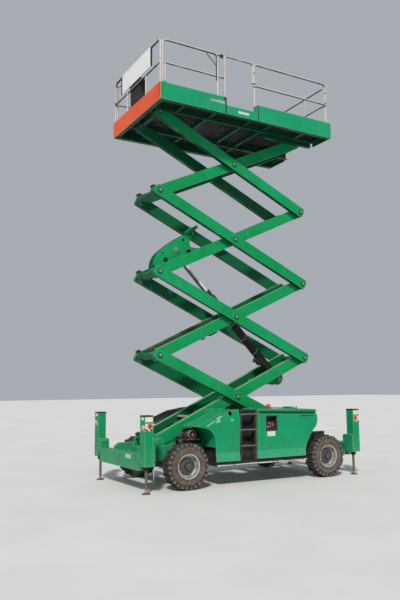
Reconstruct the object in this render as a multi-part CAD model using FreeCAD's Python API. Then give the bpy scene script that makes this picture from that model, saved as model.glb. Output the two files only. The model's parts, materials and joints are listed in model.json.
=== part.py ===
import FreeCAD, Part
import os
from math import sin, cos, tan, radians, degrees, asin, atan2, hypot

# Rough-terrain scissor lift, raised about half way, standing on its wheels and outrigger feet.
# Units are millimetres. X runs along the machine (front is -X), Y across (left side is -Y), Z is up.
os.makedirs("parts", exist_ok=True)
V = FreeCAD.Vector

# Scissor stack: the pivots on the chassis, the arms, and how far each stage rises in this pose
PIVOT_X = -1835.0
PIVOT_Z = 823.0
STAGES = 4
ARM_LENGTH = 3840.0
STAGE_RISE = 1617.0
ARM_DEPTH = 215.0
ARM_WIDTH = 100.0
ARM_END = 85.0
ARM_GAP = 15.0
OUTER_IN = 400.0
END_CUT = 35.0
TOP_END_CUT = 55.0
LOW_ANGLE = 4.3
HIGH_ANGLE = 46.6

# Pins, shafts and rollers of the stack
PIN_R = 40.0
PIN_RUN = 0.5
FACE_GAP = 0.3
PAD_R = 72.0
PAD_T = 6.0
HEAD_R = 52.0
HEAD_T = 14.0
LEFT_TUBE_R = 70.0
RIGHT_TUBE_R = 58.0
CROSS_TUBE_R = 45.0
ROLLER_R = 36.0
ROLLER_WIDTH = 56.0
ROLLER_SHAFT_R = 22.0
ROLLER_OFF = 7.0
SHAFT_OVER = 6.0
ROLLER_PLAY = 2.0

# Lift cylinder: its low pin is measured back from the right-hand pin of inner arms 1, its high pin
# from the left-hand pin of inner arms 3; both also across the arm, above its middle
LOW_PIN_BACK = 560.0
LOW_PIN_DROP = 250.0
HIGH_PIN_ALONG = 720.0
HIGH_PIN_ABOVE = 260.0
BARREL_R = 75.0
BARREL_WALL = 27.5
ROD_R = 45.0
ROD_RUN = 0.6
EYE_R = 78.0
CYL_PIN_R = 31.0
GLAND_R = 86.0
GLAND_LENGTH = 90.0
BARREL_SHARE = 0.697
ROD_TAIL = 1070.0
PLATE_T = 20.0
HANGER_IN = 80.0
FIN_IN = 92.0

# Wheels
WHEEL_R = 420.0
RIM_R = 214.0
FLANGE_R = 228.0
TYRE_OUT = 1174.0
TYRE_WIDTH = 314.0
TYRE_SEAT = 0.5
LUG_PITCHES = 17
LUG_HEIGHT = 24.0
FRONT_AXLE_X = -1581.0
WHEELBASE = 3233.0
KINGPIN_Y = 765.0
KINGPIN_R = 20.0
YOKE_R = 42.0
SPINDLE_R = 30.0

# Chassis
RAIL_IN = 510.0
RAIL_WIDTH = 80.0
RAIL_Z = (500.0, 760.0)
BEAM_DEPTH = 163.0
BEAM_Z = (385.0, 652.0)
REAR_OVERHANG = 821.0
TOW_BORE_R = 35.0
TRACK_T = 12.0

# Outriggers
TOWER_HALF = 1205.0
TOWER_WIDTH = 202.0
TOWER_DEPTH = 160.0
SLEEVE_WIDTH = 300.0
TOWER_Z = (500.0, 1345.0)
SLEEVE_TOP = 820.0
SLEEVE_LOW = 470.0
LEG_R = 25.0
LEG_RUN = 0.6
FOOT_R = 80.0

# Side trays and hoods
HOOD_OUT = 1150.0
FLARE_OUT = 22.0
FLARE_TOP = 620.0
TRAY_BACK = 25.0
TRAY_Z = (375.0, 455.0)
TRAY_T = 10.0
WALL_T = 8.0
HINGE_Z = 1400.0
HINGE_R = 7.0
HINGE_RUN = 0.5
SKIN = 8.0

# Platform: heights are above the top pivots
DECK_FRONT_BACK = 315.0
DECK_REAR_OUT = 35.0
PANEL_HALF = 1149.0
PANEL_DROP = 58.0
DECK_RISE = 117.0
DECK_T = 8.0
TALL_PANEL = 344.0
PANEL_T = 15.0
ROLL_PANEL_T = 9.0
RAIL_HEIGHT = 1081.0
MID_RAIL_HEIGHT = 592.0
SECTION_BACK = 665.0
ENTRY_X = 60.0
TUBE_R = 20.0
POST_R = 18.0
BEND_R = 90.0
ROLL_FLOOR_UP = 14.0

# Worked out from the sizes above
OUTER_Y = (OUTER_IN, OUTER_IN + ARM_WIDTH)
INNER_Y = (OUTER_IN - ARM_GAP - ARM_WIDTH, OUTER_IN - ARM_GAP)
ARM_ANGLE = degrees(asin(STAGE_RISE / ARM_LENGTH))
RIGHT_X = PIVOT_X + ARM_LENGTH * cos(radians(ARM_ANGLE))
NEAR_REACH = PIVOT_X + ARM_LENGTH * cos(radians(HIGH_ANGLE))
FAR_REACH = PIVOT_X + ARM_LENGTH * cos(radians(LOW_ANGLE))
TOP_PIVOT_Z = PIVOT_Z + STAGES * STAGE_RISE
REAR_AXLE_X = FRONT_AXLE_X + WHEELBASE
AXLE_X = {"front": FRONT_AXLE_X, "rear": REAR_AXLE_X}
SIDE = {"left": -1, "right": 1}
FRAME_END = REAR_AXLE_X + REAR_OVERHANG
RAIL_END = FRAME_END - BEAM_DEPTH
RAIL_OUT = RAIL_IN + RAIL_WIDTH
LEG_X = FRAME_END - TOWER_DEPTH / 2 - 3
LEG_Y = TOWER_HALF - TOWER_WIDTH / 2 - 19
BEAM_HALF = TOWER_HALF - SLEEVE_WIDTH
HOOD_FLARE = HOOD_OUT + FLARE_OUT
TRAY_HALF = HOOD_OUT - TRAY_BACK
DECK_X = (PIVOT_X - DECK_FRONT_BACK, PIVOT_X + ARM_LENGTH + DECK_REAR_OUT)
DECK_Z = TOP_PIVOT_Z + DECK_RISE
PANEL_Z = TOP_PIVOT_Z - PANEL_DROP
PANEL_TOP = PANEL_Z + TALL_PANEL
RAIL_TOP = DECK_Z + RAIL_HEIGHT
RAIL_MID = DECK_Z + MID_RAIL_HEIGHT
SECTION_X = -SECTION_BACK
CYL_LOW = (ARM_LENGTH - LOW_PIN_BACK, -LOW_PIN_DROP)
CYL_HIGH = (HIGH_PIN_ALONG, HIGH_PIN_ABOVE)


def save(node, solids):
    shape = solids[0] if len(solids) == 1 else Part.makeCompound(solids)
    shape.exportStep("parts/" + node + ".step")


def box(x0, x1, y0, y1, z0, z1):
    # Corners may come in either order, so that a side's sign can be put in front.
    x0, x1 = sorted((x0, x1))
    y0, y1 = sorted((y0, y1))
    z0, z1 = sorted((z0, z1))
    return Part.makeBox(x1 - x0, y1 - y0, z1 - z0, V(x0, y0, z0))


def cyl(axis, centre, r, a0, a1):
    # A round bar along one axis from a0 to a1; centre holds the other two coordinates.
    a0, a1 = sorted((a0, a1))
    if axis == "x":
        return Part.makeCylinder(r, a1 - a0, V(a0, centre[0], centre[1]), V(1, 0, 0))
    if axis == "y":
        return Part.makeCylinder(r, a1 - a0, V(centre[0], a0, centre[1]), V(0, 1, 0))
    return Part.makeCylinder(r, a1 - a0, V(centre[0], centre[1], a0), V(0, 0, 1))


def in_plane(axis, point, at):
    # A point of a flat outline; the axis is the one that the plane is square to.
    if axis == "y":
        return V(point[0], at, point[1])
    if axis == "x":
        return V(at, point[0], point[1])
    return V(point[0], point[1], at)


def face(axis, path, at):
    # A closed outline: a plain point ends a straight edge, a pair of points is an arc's middle and end.
    edges = []
    here = path[0]
    for step in path[1:] + [path[0]]:
        curved = isinstance(step[0], tuple)
        end = step[1] if curved else step
        if end == here:
            continue
        a = in_plane(axis, here, at)
        b = in_plane(axis, end, at)
        if curved:
            edges.append(Part.Arc(a, in_plane(axis, step[0], at), b).toShape())
        else:
            edges.append(Part.LineSegment(a, b).toShape())
        here = end
    return Part.Face(Part.Wire(edges))


def along(axis, length):
    return {"x": V(length, 0, 0), "y": V(0, length, 0), "z": V(0, 0, length)}[axis]


def prism(axis, path, a0, a1):
    # A flat outline pushed along its axis.
    a0, a1 = sorted((a0, a1))
    return face(axis, path, a0).extrude(along(axis, a1 - a0))


def inset(axis, path, a0, a1, t):
    # The same outline set in by t all round, or set out where t is below zero.
    return face(axis, path, a0).makeOffset2D(-t, 2).extrude(along(axis, a1 - a0))


def bar(p, q, r):
    # A round tube from point p to point q.
    a = V(*p)
    b = V(*q)
    return Part.makeCylinder(r, (b - a).Length, a, b - a)


def turned(axis_point, path, side):
    # A wheel profile in (radius, distance in from the tyre's outer face), turned about the axle's line.
    x, z = axis_point
    corners = [V(x + p[0], side * (TYRE_OUT - p[1]), z) for p in path]
    ring = Part.Face(Part.makePolygon(corners + [corners[0]]))
    return ring.revolve(V(x, 0, z), V(0, 1, 0), 360)


def fuse(solids):
    whole = solids[0]
    for s in solids[1:]:
        whole = whole.fuse(s)
    return whole.removeSplitter()


def flip_y(shape):
    return shape.mirror(V(0, 0, 0), V(0, 1, 0))


def both(shape):
    return [shape, flip_y(shape)]


def four(shape):
    # One corner's shape at all four corners of the machine.
    front = shape.mirror(V(0, 0, 0), V(1, 0, 0))
    return both(shape) + both(front)


def inner_frame(shape, stage):
    # From the arm frame (X along the arm from its left pin, Z above its middle) to this pose.
    moved = shape.copy()
    moved.rotate(V(0, 0, 0), V(0, -1, 0), ARM_ANGLE)
    moved.translate(V(PIVOT_X, 0, PIVOT_Z + (stage - 1) * STAGE_RISE))
    return moved


def outer_frame(shape, stage):
    # The outer arms start at the right-hand pin and lean the other way.
    moved = shape.copy()
    moved.rotate(V(0, 0, 0), V(0, -1, 0), 180.0 - ARM_ANGLE)
    moved.translate(V(RIGHT_X, 0, PIVOT_Z + (stage - 1) * STAGE_RISE))
    return moved


def inner_point(s, n, stage):
    a = radians(ARM_ANGLE)
    x = PIVOT_X + s * cos(a) - n * sin(a)
    z = PIVOT_Z + (stage - 1) * STAGE_RISE + s * sin(a) + n * cos(a)
    return x, z


# Scissor arms: box arms with clipped ends, raised pads round their pins, rubber stops on the inner ones
STOP_FROM = 12.0
STOP_LENGTH = 70.0
STOP_HEIGHT = 30.0
STOP_INSET = 15.0


def arm(width, pads, bores, low_cut, high_cut):
    # pads and bores are (place along the arm, radius); the pads stand on the arm's outer face.
    h = ARM_DEPTH / 2
    a = -ARM_END
    b = ARM_LENGTH + ARM_END
    outline = [(a, -h + low_cut), (a + low_cut, -h), (b - high_cut, -h), (b, -h + high_cut),
               (b, h - high_cut), (b - high_cut, h), (a + low_cut, h), (a, h - low_cut)]
    body = prism("y", outline, width[0], width[1])
    for s in pads:
        body = body.fuse(cyl("y", (s, 0), PAD_R, width[1] - 1, width[1] + PAD_T))
    for s, r in bores:
        body = body.cut(cyl("y", (s, 0), r, width[0] - 1, width[1] + PAD_T + 1))
    return body


def inner_arm(stage):
    top = stage == STAGES
    end_r = ROLLER_SHAFT_R if top else PIN_R + 2 * PIN_RUN
    bores = [(0, PIN_R + PIN_RUN), (ARM_LENGTH / 2, PIN_R), (ARM_LENGTH, end_r)]
    high_cut = TOP_END_CUT if top else END_CUT
    body = arm(INNER_Y, [0, ARM_LENGTH / 2, ARM_LENGTH], bores, END_CUT, high_cut)
    low = -ARM_END + END_CUT + STOP_FROM
    stop = box(low, low + STOP_LENGTH, INNER_Y[0] + STOP_INSET, INNER_Y[1] - STOP_INSET,
               ARM_DEPTH / 2 - 1, ARM_DEPTH / 2 + STOP_HEIGHT)
    return body.fuse(stop).removeSplitter()


def outer_arm(stage):
    low_r = ROLLER_SHAFT_R if stage == 1 else PIN_R
    bores = [(0, low_r), (ARM_LENGTH / 2, PIN_R + PIN_RUN), (ARM_LENGTH, PIN_R)]
    pads = [ARM_LENGTH / 2, ARM_LENGTH] if stage == 1 else [0, ARM_LENGTH / 2, ARM_LENGTH]
    high_cut = TOP_END_CUT if stage == STAGES else END_CUT
    return arm(OUTER_Y, pads, bores, END_CUT, high_cut).removeSplitter()


# Cross tubes of the inner arms: their share of the arm's length for each stage, besides the two end tubes
CROSS_TUBES = {1: [0.182], 2: [0.260, 0.755], 3: [0.755], 4: [0.422, 0.755]}
FLOOR_PLATE = (0.3125 * ARM_LENGTH, 0.625 * ARM_LENGTH)
FLOOR_PLATE_T = 40.0
GUSSET = 120.0
GUSSET_T = 6.0
PIN_SEAT = 10.0


def inner_crosses(stage):
    y = INNER_Y[0]
    left = cyl("y", (0, 0), LEFT_TUBE_R, -y, y).cut(cyl("y", (0, 0), PIN_R + PIN_RUN, -y - 1, y + 1))
    right_bore = ROLLER_SHAFT_R if stage == STAGES else PIN_R + 2 * PIN_RUN
    right = cyl("y", (ARM_LENGTH, 0), RIGHT_TUBE_R, -y, y)
    right = right.cut(cyl("y", (ARM_LENGTH, 0), right_bore, -y - 1, y + 1))
    solids = [left, right]
    if stage == 1:
        half = FLOOR_PLATE_T / 2
        solids.append(box(FLOOR_PLATE[0], FLOOR_PLATE[1], -y, y, -half, half))
    for share in CROSS_TUBES[stage]:
        s = share * ARM_LENGTH
        tube = cyl("y", (s, 0), CROSS_TUBE_R, -y, y)
        plates = box(s - GUSSET, s + GUSSET, y - GUSSET, y, -GUSSET_T / 2, GUSSET_T / 2)
        for turn in (-1, 1):
            taper = [(s + turn * GUSSET, y - GUSSET), (s + turn * CROSS_TUBE_R, y - GUSSET),
                     (s + turn * GUSSET, y - 10)]
            plates = plates.cut(prism("z", taper, -GUSSET_T, GUSSET_T))
        solids.append(fuse([tube] + both(plates)))
    return solids


def centre_pin():
    # Turns in the outer arm, so its head stands just clear of that arm's pad.
    top = OUTER_Y[1] + PAD_T + FACE_GAP
    return fuse([cyl("y", (ARM_LENGTH / 2, 0), PIN_R, INNER_Y[0] + PIN_SEAT, top + 1),
                 cyl("y", (ARM_LENGTH / 2, 0), HEAD_R, top, top + HEAD_T)])


def knuckle_shaft(s):
    # A through shaft with a collar outside each outer arm.
    top = OUTER_Y[1] + PAD_T
    collar = cyl("y", (s, 0), HEAD_R, top, top + HEAD_T)
    return fuse([cyl("y", (s, 0), PIN_R, -top - 1, top + 1)] + both(collar))


def low_roller_shaft():
    y = OUTER_Y[1] + ROLLER_OFF
    end = y + ROLLER_WIDTH + SHAFT_OVER
    roller = cyl("y", (0, 0), ROLLER_R, y, y + ROLLER_WIDTH)
    hub = cyl("y", (0, 0), ROLLER_SHAFT_R + 6, OUTER_Y[1], y)
    return fuse([cyl("y", (0, 0), ROLLER_SHAFT_R, -end, end),
                 cyl("y", (0, 0), RIGHT_TUBE_R, -OUTER_Y[0], OUTER_Y[0])] + both(roller) + both(hub))


for k in range(1, STAGES + 1):
    save("inner_arms_%d" % k, both(inner_frame(inner_arm(k), k)))
    save("outer_arms_%d" % k, both(outer_frame(outer_arm(k), k)))
    save("inner_tubes_%d" % k, [inner_frame(c, k) for c in inner_crosses(k) + both(centre_pin())])
    low_shaft = low_roller_shaft() if k == 1 else knuckle_shaft(0)
    save("knuckle_shafts_%d" % k, [outer_frame(s, k) for s in (knuckle_shaft(ARM_LENGTH), low_shaft)])

# Rollers at the upper sliding end run in the platform's tracks
UPPER_ROLLER_Y = 394.0
UPPER_ROLLER_WIDTH = 52.0
roller = cyl("y", (ARM_LENGTH, 0), ROLLER_R, UPPER_ROLLER_Y, UPPER_ROLLER_Y + UPPER_ROLLER_WIDTH)
roller_end = UPPER_ROLLER_Y + UPPER_ROLLER_WIDTH + 2
upper_rollers = fuse([cyl("y", (ARM_LENGTH, 0), ROLLER_SHAFT_R, -roller_end, roller_end)] + both(roller))
save("upper_roller_axle", [inner_frame(upper_rollers, STAGES)])

# Lift cylinder: barrel on the hanger of inner arms 1, rod eye between the fin plates of inner arms 3
low_x, low_z = inner_point(CYL_LOW[0], CYL_LOW[1], 1)
high_x, high_z = inner_point(CYL_HIGH[0], CYL_HIGH[1], 3)
cyl_length = hypot(high_x - low_x, high_z - low_z)
cyl_angle = degrees(atan2(high_z - low_z, high_x - low_x))
gland_end = cyl_length * BARREL_SHARE
BORE_START = 120.0
GLAND_LIP = 30.0
PORT_BACK = 190.0
PORT_AHEAD = 210.0
ROD_EYE_R = 65.0
ROD_EYE_HALF = 42.0
BARREL_EYE_HALF = 55.0
PORT_R = 24.0


def on_cylinder(shape):
    moved = shape.copy()
    moved.rotate(V(0, 0, 0), V(0, -1, 0), cyl_angle)
    moved.translate(V(low_x, 0, low_z))
    return moved


def barrel():
    tube = cyl("x", (0, 0), BARREL_R, EYE_R / 2, gland_end - GLAND_LENGTH + 20)
    gland = cyl("x", (0, 0), GLAND_R, gland_end - GLAND_LENGTH, gland_end)
    lip_x = gland_end - GLAND_LIP
    groove = cyl("x", (0, 0), GLAND_R + 1, lip_x - 4, lip_x + 4)
    groove = groove.cut(cyl("x", (0, 0), BARREL_R + 1, lip_x - 5, lip_x + 5))
    eye = cyl("y", (0, 0), EYE_R, -BARREL_EYE_HALF, BARREL_EYE_HALF)
    port_x = (PORT_AHEAD, gland_end - PORT_BACK)
    ports = [cyl("z", (x, 0), PORT_R, -BARREL_R - 26, -BARREL_R + 20) for x in port_x]
    body = fuse([tube, eye, gland] + ports).cut(groove)
    body = body.cut(cyl("x", (0, 0), BARREL_R - BARREL_WALL, BORE_START, lip_x))
    body = body.cut(cyl("x", (0, 0), ROD_R + ROD_RUN, lip_x - 1, gland_end + 1))
    return body.cut(cyl("y", (0, 0), CYL_PIN_R + 1, -BARREL_EYE_HALF - 1, BARREL_EYE_HALF + 1))


def rod():
    shaft = cyl("x", (0, 0), ROD_R, gland_end - ROD_TAIL, cyl_length - ROD_EYE_R + 15)
    eye = cyl("y", (cyl_length, 0), ROD_EYE_R, -ROD_EYE_HALF, ROD_EYE_HALF)
    pin = cyl("y", (cyl_length, 0), CYL_PIN_R, -FIN_IN + 8, FIN_IN - 8)
    return fuse([shaft, eye, pin])


save("cylinder_barrel", [on_cylinder(barrel())])
save("cylinder_rod", [on_cylinder(rod())])

# Plates under inner arms 1 that hold the barrel's pin
HANGER_BACK = 620.0
HANGER_AHEAD = 170.0
HANGER_EDGE = 110.0
HANGER_ROUND = 88.0
s, n = CYL_LOW
hanger_outline = [(s - HANGER_BACK, 0), (s - HANGER_BACK + 60, -HANGER_EDGE), (s - 150, n - 40),
                  ((s + 10, n - HANGER_ROUND), (s + 90, n - 30)), (s + HANGER_AHEAD, -HANGER_EDGE),
                  (s + HANGER_AHEAD, 0)]
hanger_out = HANGER_IN + PLATE_T
hanger_plate = prism("y", hanger_outline, HANGER_IN, hanger_out)
# Holes of the plates as (place along the arm, place across it, radius)
for hole_s, hole_n, hole_r in ((s - 330, -95, 45), (s - 170, -120, 35)):
    hanger_plate = hanger_plate.cut(cyl("y", (hole_s, hole_n), hole_r, HANGER_IN - 1, hanger_out + 1))
TIE_R = 36.0
tie_from = HANGER_IN + PLATE_T / 2
ties = [cyl("y", (tie_s, -52), TIE_R, tie_from, INNER_Y[0]) for tie_s in (s - 480, s + 90)]
pin_end = hanger_out + 15
hanger = fuse(both(fuse([hanger_plate] + ties)) + [cyl("y", CYL_LOW, CYL_PIN_R + 0.5, -pin_end, pin_end)])
save("cylinder_hanger", [inner_frame(hanger, 1)])

# Fin plates on inner arms 3 that hold the rod's eye: a curved back, a hooked tip and lightening holes
fin_outline = [(80, -40), (80, 75), ((200, 255), (400, 362)), ((850, 462), (1290, 490)), (1250, 400),
               ((1120, 320), (1080, 200)), (1330, 60), (1330, -40)]
fin = prism("y", fin_outline, FIN_IN, FIN_IN + PLATE_T)
for hole_s, hole_n, hole_r in ((420, 150, 60), (1000, 120, 55), (980, 385, 32), (420, 300, 25)):
    fin = fin.cut(cyl("y", (hole_s, hole_n), hole_r, FIN_IN - 1, FIN_IN + PLATE_T + 1))
fin_out = FIN_IN + PLATE_T
fin = fuse([fin, cyl("y", CYL_HIGH, 62, fin_out, fin_out + 14), cyl("y", (200, 0), 42, fin_out, INNER_Y[0]),
            cyl("y", (1240, 0), 42, fin_out, INNER_Y[0]), cyl("y", (1215, 452), 30, fin_out, fin_out + 60)])
save("fin_bracket", [inner_frame(f, 3) for f in both(fin)])

# Chassis: two box rails with raked ends, cross members, pivot lugs and stubs
CROSS_Z = (540.0, 680.0)
LUG_HALF = 150.0
LUG_IN = OUTER_IN
LUG_T = 40.0
CROSS_HALF = 60.0
CROSS_X = (-1050.0, -300.0, 450.0, 1200.0, 1950.0)
SKID_RAKE = 90.0
rake_z = BEAM_Z[1] + 40
rail_outline = [(-RAIL_END, RAIL_Z[0]), (RAIL_END, RAIL_Z[0]), (RAIL_END, rake_z),
                (RAIL_END - SKID_RAKE, RAIL_Z[1]), (-RAIL_END + SKID_RAKE, RAIL_Z[1]), (-RAIL_END, rake_z)]
frame = both(prism("y", rail_outline, RAIL_IN, RAIL_OUT))
frame.append(box(PIVOT_X - LUG_HALF, PIVOT_X + LUG_HALF, -RAIL_IN, RAIL_IN, CROSS_Z[0], CROSS_Z[1]))
for x in CROSS_X:
    frame.append(box(x - CROSS_HALF, x + CROSS_HALF, -RAIL_IN, RAIL_IN, CROSS_Z[0], CROSS_Z[1]))
arc_x = LUG_HALF - 40
arc_z = PIVOT_Z - 40
lug_outline = [(PIVOT_X - LUG_HALF, CROSS_Z[1]), (PIVOT_X - arc_x, arc_z),
               ((PIVOT_X, PIVOT_Z + 82), (PIVOT_X + arc_x, arc_z)), (PIVOT_X + LUG_HALF, CROSS_Z[1])]
lug = prism("y", lug_outline, LUG_IN, LUG_IN + LUG_T)
lug_out = LUG_IN + LUG_T
stub = fuse([cyl("y", (PIVOT_X, PIVOT_Z), PIN_R, INNER_Y[0] + PIN_SEAT, lug_out + 6),
             cyl("y", (PIVOT_X, PIVOT_Z), HEAD_R, lug_out, lug_out + HEAD_T)])
save("main_frame", [fuse(frame + both(lug) + both(stub))])

# C tracks on the rails that the lower rollers run in, open inwards, with ribs outside
TRACK_STOP = 16.0
TRACK_MARGIN = 22.0
TRACK_RIBS = 5
RIB_IN = 60.0
RIB_T = 8.0
track_x = (NEAR_REACH - ROLLER_R - TRACK_MARGIN, FAR_REACH + ROLLER_R + TRACK_MARGIN)
track_top = PIVOT_Z + ROLLER_R + ROLLER_PLAY + TRACK_T
track_floor = PIVOT_Z - ROLLER_R - ROLLER_PLAY
roller_out = OUTER_Y[1] + ROLLER_OFF + ROLLER_WIDTH + SHAFT_OVER + 3
track_y = (OUTER_Y[1] + ROLLER_OFF - ROLLER_PLAY, roller_out + TRACK_T)
open_x = track_x[0] - 5
open_y = track_y[0] - 5
track = box(track_x[0], track_x[1], track_y[0], track_y[1], RAIL_Z[1], track_top)
track_roof = track_top - TRACK_T
track = track.cut(box(open_x, track_x[1] - TRACK_STOP, open_y, roller_out, track_floor, track_roof))
track = track.cut(box(open_x, track_x[0] + TRACK_STOP, open_y, roller_out, track_floor, track_top + 7))
ribs = []
rib_outline = [(track_y[1], RAIL_Z[1]), (RAIL_OUT, RAIL_Z[1]), (track_y[1], track_top - 20)]
for i in range(TRACK_RIBS):
    x = track_x[0] + RIB_IN + i * (track_x[1] - track_x[0] - 2 * RIB_IN) / (TRACK_RIBS - 1)
    ribs.append(prism("x", rib_outline, x - RIB_T / 2, x + RIB_T / 2))
save("chassis_tracks", both(fuse([track] + ribs)))

# End beams: box beams with a tow bore and cheek plates where they meet the rails
CHEEK = 130.0
beam = box(RAIL_END, FRAME_END, -BEAM_HALF, BEAM_HALF, BEAM_Z[0], BEAM_Z[1])
beam_mid = 520.0
cheek_outline = [(RAIL_END - CHEEK, RAIL_Z[0] - 2), (RAIL_END, BEAM_Z[0]), (RAIL_END, RAIL_Z[0] - 2)]
cheek = prism("y", cheek_outline, RAIL_IN + 10, RAIL_OUT - 10)
beam = fuse([beam] + both(cheek)).cut(cyl("x", (0, beam_mid), TOW_BORE_R, RAIL_END - 1, FRAME_END + 1))
save("end_beams", [beam, beam.mirror(V(0, 0, 0), V(1, 0, 0))])

# Outriggers: tower with cap, a wider sleeve with a slanted foot, gland and leg with its foot
CAP_T = 10.0
CAP_OVER = 3.0
GLAND_RING_R = 55.0
LEG_TOP = 900.0
tower_x = (FRAME_END - TOWER_DEPTH, FRAME_END)
tower_y = (TOWER_HALF - TOWER_WIDTH, TOWER_HALF)
sleeve_x = FRAME_END - TOWER_DEPTH - 35
slant_z = SLEEVE_LOW + 165
tower = box(tower_x[0], tower_x[1], tower_y[0], tower_y[1], TOWER_Z[0], TOWER_Z[1] - CAP_T)
cap = box(tower_x[0] - CAP_OVER, tower_x[1], tower_y[0] - CAP_OVER, tower_y[1],
          TOWER_Z[1] - CAP_T, TOWER_Z[1])
sleeve_outline = [(BEAM_HALF, SLEEVE_TOP - 30), (BEAM_HALF + 30, SLEEVE_TOP), (TOWER_HALF, SLEEVE_TOP),
                  (TOWER_HALF, SLEEVE_LOW), (tower_y[0] + 20, SLEEVE_LOW), (BEAM_HALF, slant_z)]
sleeve = prism("x", sleeve_outline, sleeve_x, FRAME_END)
tower = fuse([tower, cap, sleeve])
tower = tower.cut(cyl("z", (LEG_X, LEG_Y), LEG_R + 5, SLEEVE_LOW - 10, LEG_TOP + 360))
ring = cyl("z", (LEG_X, LEG_Y), GLAND_RING_R, SLEEVE_LOW - 65, SLEEVE_LOW)
tower = tower.fuse(ring.cut(cyl("z", (LEG_X, LEG_Y), LEG_R + LEG_RUN, SLEEVE_LOW - 70, SLEEVE_LOW + 10)))
save("outrigger_towers", four(tower.removeSplitter()))
foot_outline = [(0, 0), (FOOT_R, 0), (FOOT_R, 8), (LEG_R + 12, 26), (LEG_R + 12, 40), (LEG_R, 46),
                (LEG_R, LEG_TOP), (0, LEG_TOP)]
leg_face = face("y", foot_outline, 0)
leg = leg_face.revolve(V(0, 0, 0), V(0, 0, 1), 360)
for end, sx in (("front", -1), ("rear", 1)):
    for side, sy in SIDE.items():
        placed = leg.copy()
        placed.translate(V(sx * LEG_X, sy * LEG_Y, 0))
        save("outrigger_leg_%s_%s" % (end, side), [placed])

# Axles: the front one carries yokes for the steering knuckles, the rear one a round housing
AXLE_Z = (350.0, 480.0)
AXLE_HALF_X = 70.0
YOKE_IN = 690.0
YOKE_Z = (300.0, 540.0)
YOKE_GAP_Z = (335.0, 505.0)
YOKE_WEB = 22.0
BELLY_DROP = 40.0
BELLY_HALF = 220.0
PAD_HALF_X = 90.0
x = FRONT_AXLE_X
belly = [(-YOKE_IN, AXLE_Z[0] + 30), (-RAIL_IN, AXLE_Z[0] + 20), (-BELLY_HALF, AXLE_Z[0] - BELLY_DROP),
         (BELLY_HALF, AXLE_Z[0] - BELLY_DROP), (RAIL_IN, AXLE_Z[0] + 20), (YOKE_IN, AXLE_Z[0] + 30),
         (YOKE_IN, AXLE_Z[1]), (-YOKE_IN, AXLE_Z[1])]
front_axle = [prism("x", belly, x - AXLE_HALF_X, x + AXLE_HALF_X)]
front_axle += both(box(x - PAD_HALF_X, x + PAD_HALF_X, RAIL_IN, RAIL_OUT, AXLE_Z[1], RAIL_Z[0]))
yoke = box(x - YOKE_R, x + YOKE_R, YOKE_IN, KINGPIN_Y, YOKE_Z[0], YOKE_Z[1])
yoke = fuse([yoke, cyl("z", (x, KINGPIN_Y), YOKE_R, YOKE_Z[0], YOKE_Z[1])])
yoke = yoke.cut(box(x - YOKE_R - 5, x + YOKE_R + 5, YOKE_IN + YOKE_WEB, KINGPIN_Y + YOKE_R + 5,
                    YOKE_GAP_Z[0], YOKE_GAP_Z[1]))
yoke = fuse([yoke, cyl("z", (x, KINGPIN_Y), KINGPIN_R, YOKE_Z[0], YOKE_Z[1] + 5)])
front_axle = fuse(front_axle + both(yoke))
HOUSING_R = 65.0
DIFF_R = 150.0
HUB_FLANGE_R = 110.0
HUB_FLANGE_END = 875.0
SPINDLE_END = 980.0
# The rear housing's half profile, (radius, distance from the middle); mirrored for the other half
HOUSING_PROFILE = [(DIFF_R, 110), (HOUSING_R, 240), (HOUSING_R, 800), (HUB_FLANGE_R, 820),
                   (HUB_FLANGE_R, HUB_FLANGE_END), (SPINDLE_R, HUB_FLANGE_END), (SPINDLE_R, SPINDLE_END),
                   (0, SPINDLE_END)]
housing_path = [(r, -y) for r, y in reversed(HOUSING_PROFILE)] + HOUSING_PROFILE
housing = face("z", [(REAR_AXLE_X + r, y) for r, y in housing_path], WHEEL_R)
housing = housing.revolve(V(REAR_AXLE_X, 0, WHEEL_R), V(0, 1, 0), 360)
saddle = box(REAR_AXLE_X - PAD_HALF_X, REAR_AXLE_X + PAD_HALF_X, RAIL_IN, RAIL_OUT, WHEEL_R + 20, RAIL_Z[0])
rear_axle = fuse([housing] + both(saddle))
save("axles", [front_axle, rear_axle])

# Steering knuckles with their arms; each turns on its kingpin and carries a spindle
KNUCKLE_Z = (342.0, 498.0)
KNUCKLE_FACE = 812.0
KNUCKLE_FLANGE = 880.0
KNUCKLE_FLANGE_R = 100.0
STEER_ARM = 165.0
for side, sy in SIDE.items():
    x = FRONT_AXLE_X
    block = box(x - YOKE_R, x + YOKE_R, sy * KINGPIN_Y, sy * KNUCKLE_FACE, KNUCKLE_Z[0], KNUCKLE_Z[1])
    block = fuse([block, cyl("z", (x, sy * KINGPIN_Y), YOKE_R, KNUCKLE_Z[0], KNUCKLE_Z[1]),
                  cyl("y", (x, WHEEL_R), KNUCKLE_FLANGE_R, sy * KNUCKLE_FACE, sy * KNUCKLE_FLANGE),
                  cyl("y", (x, WHEEL_R), SPINDLE_R, sy * (KNUCKLE_FLANGE - 1), sy * SPINDLE_END)])
    lever_outline = [(x, sy * (KINGPIN_Y - 5)), (x + STEER_ARM, sy * (KINGPIN_Y - 25)),
                     (x + STEER_ARM, sy * (KINGPIN_Y + 5)), (x, sy * (KINGPIN_Y + 25))]
    lever = prism("z", lever_outline, KNUCKLE_Z[0], KNUCKLE_Z[0] + 22)
    block = fuse([block, lever])
    bore = cyl("z", (x, sy * KINGPIN_Y), KINGPIN_R + PIN_RUN, KNUCKLE_Z[0] - 1, KNUCKLE_Z[1] + 1)
    save("knuckle_" + side, [block.cut(bore)])

# Wheels: a dished rim with its hub, and a lug tyre patterned from one pitch
DISC_IN = 105.0
HUB_R = 86.0
CAP_R = 58.0
CAP_OUT = 1148.0
BEAD_IN = 31.0
WELL_R = 188.0
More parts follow.
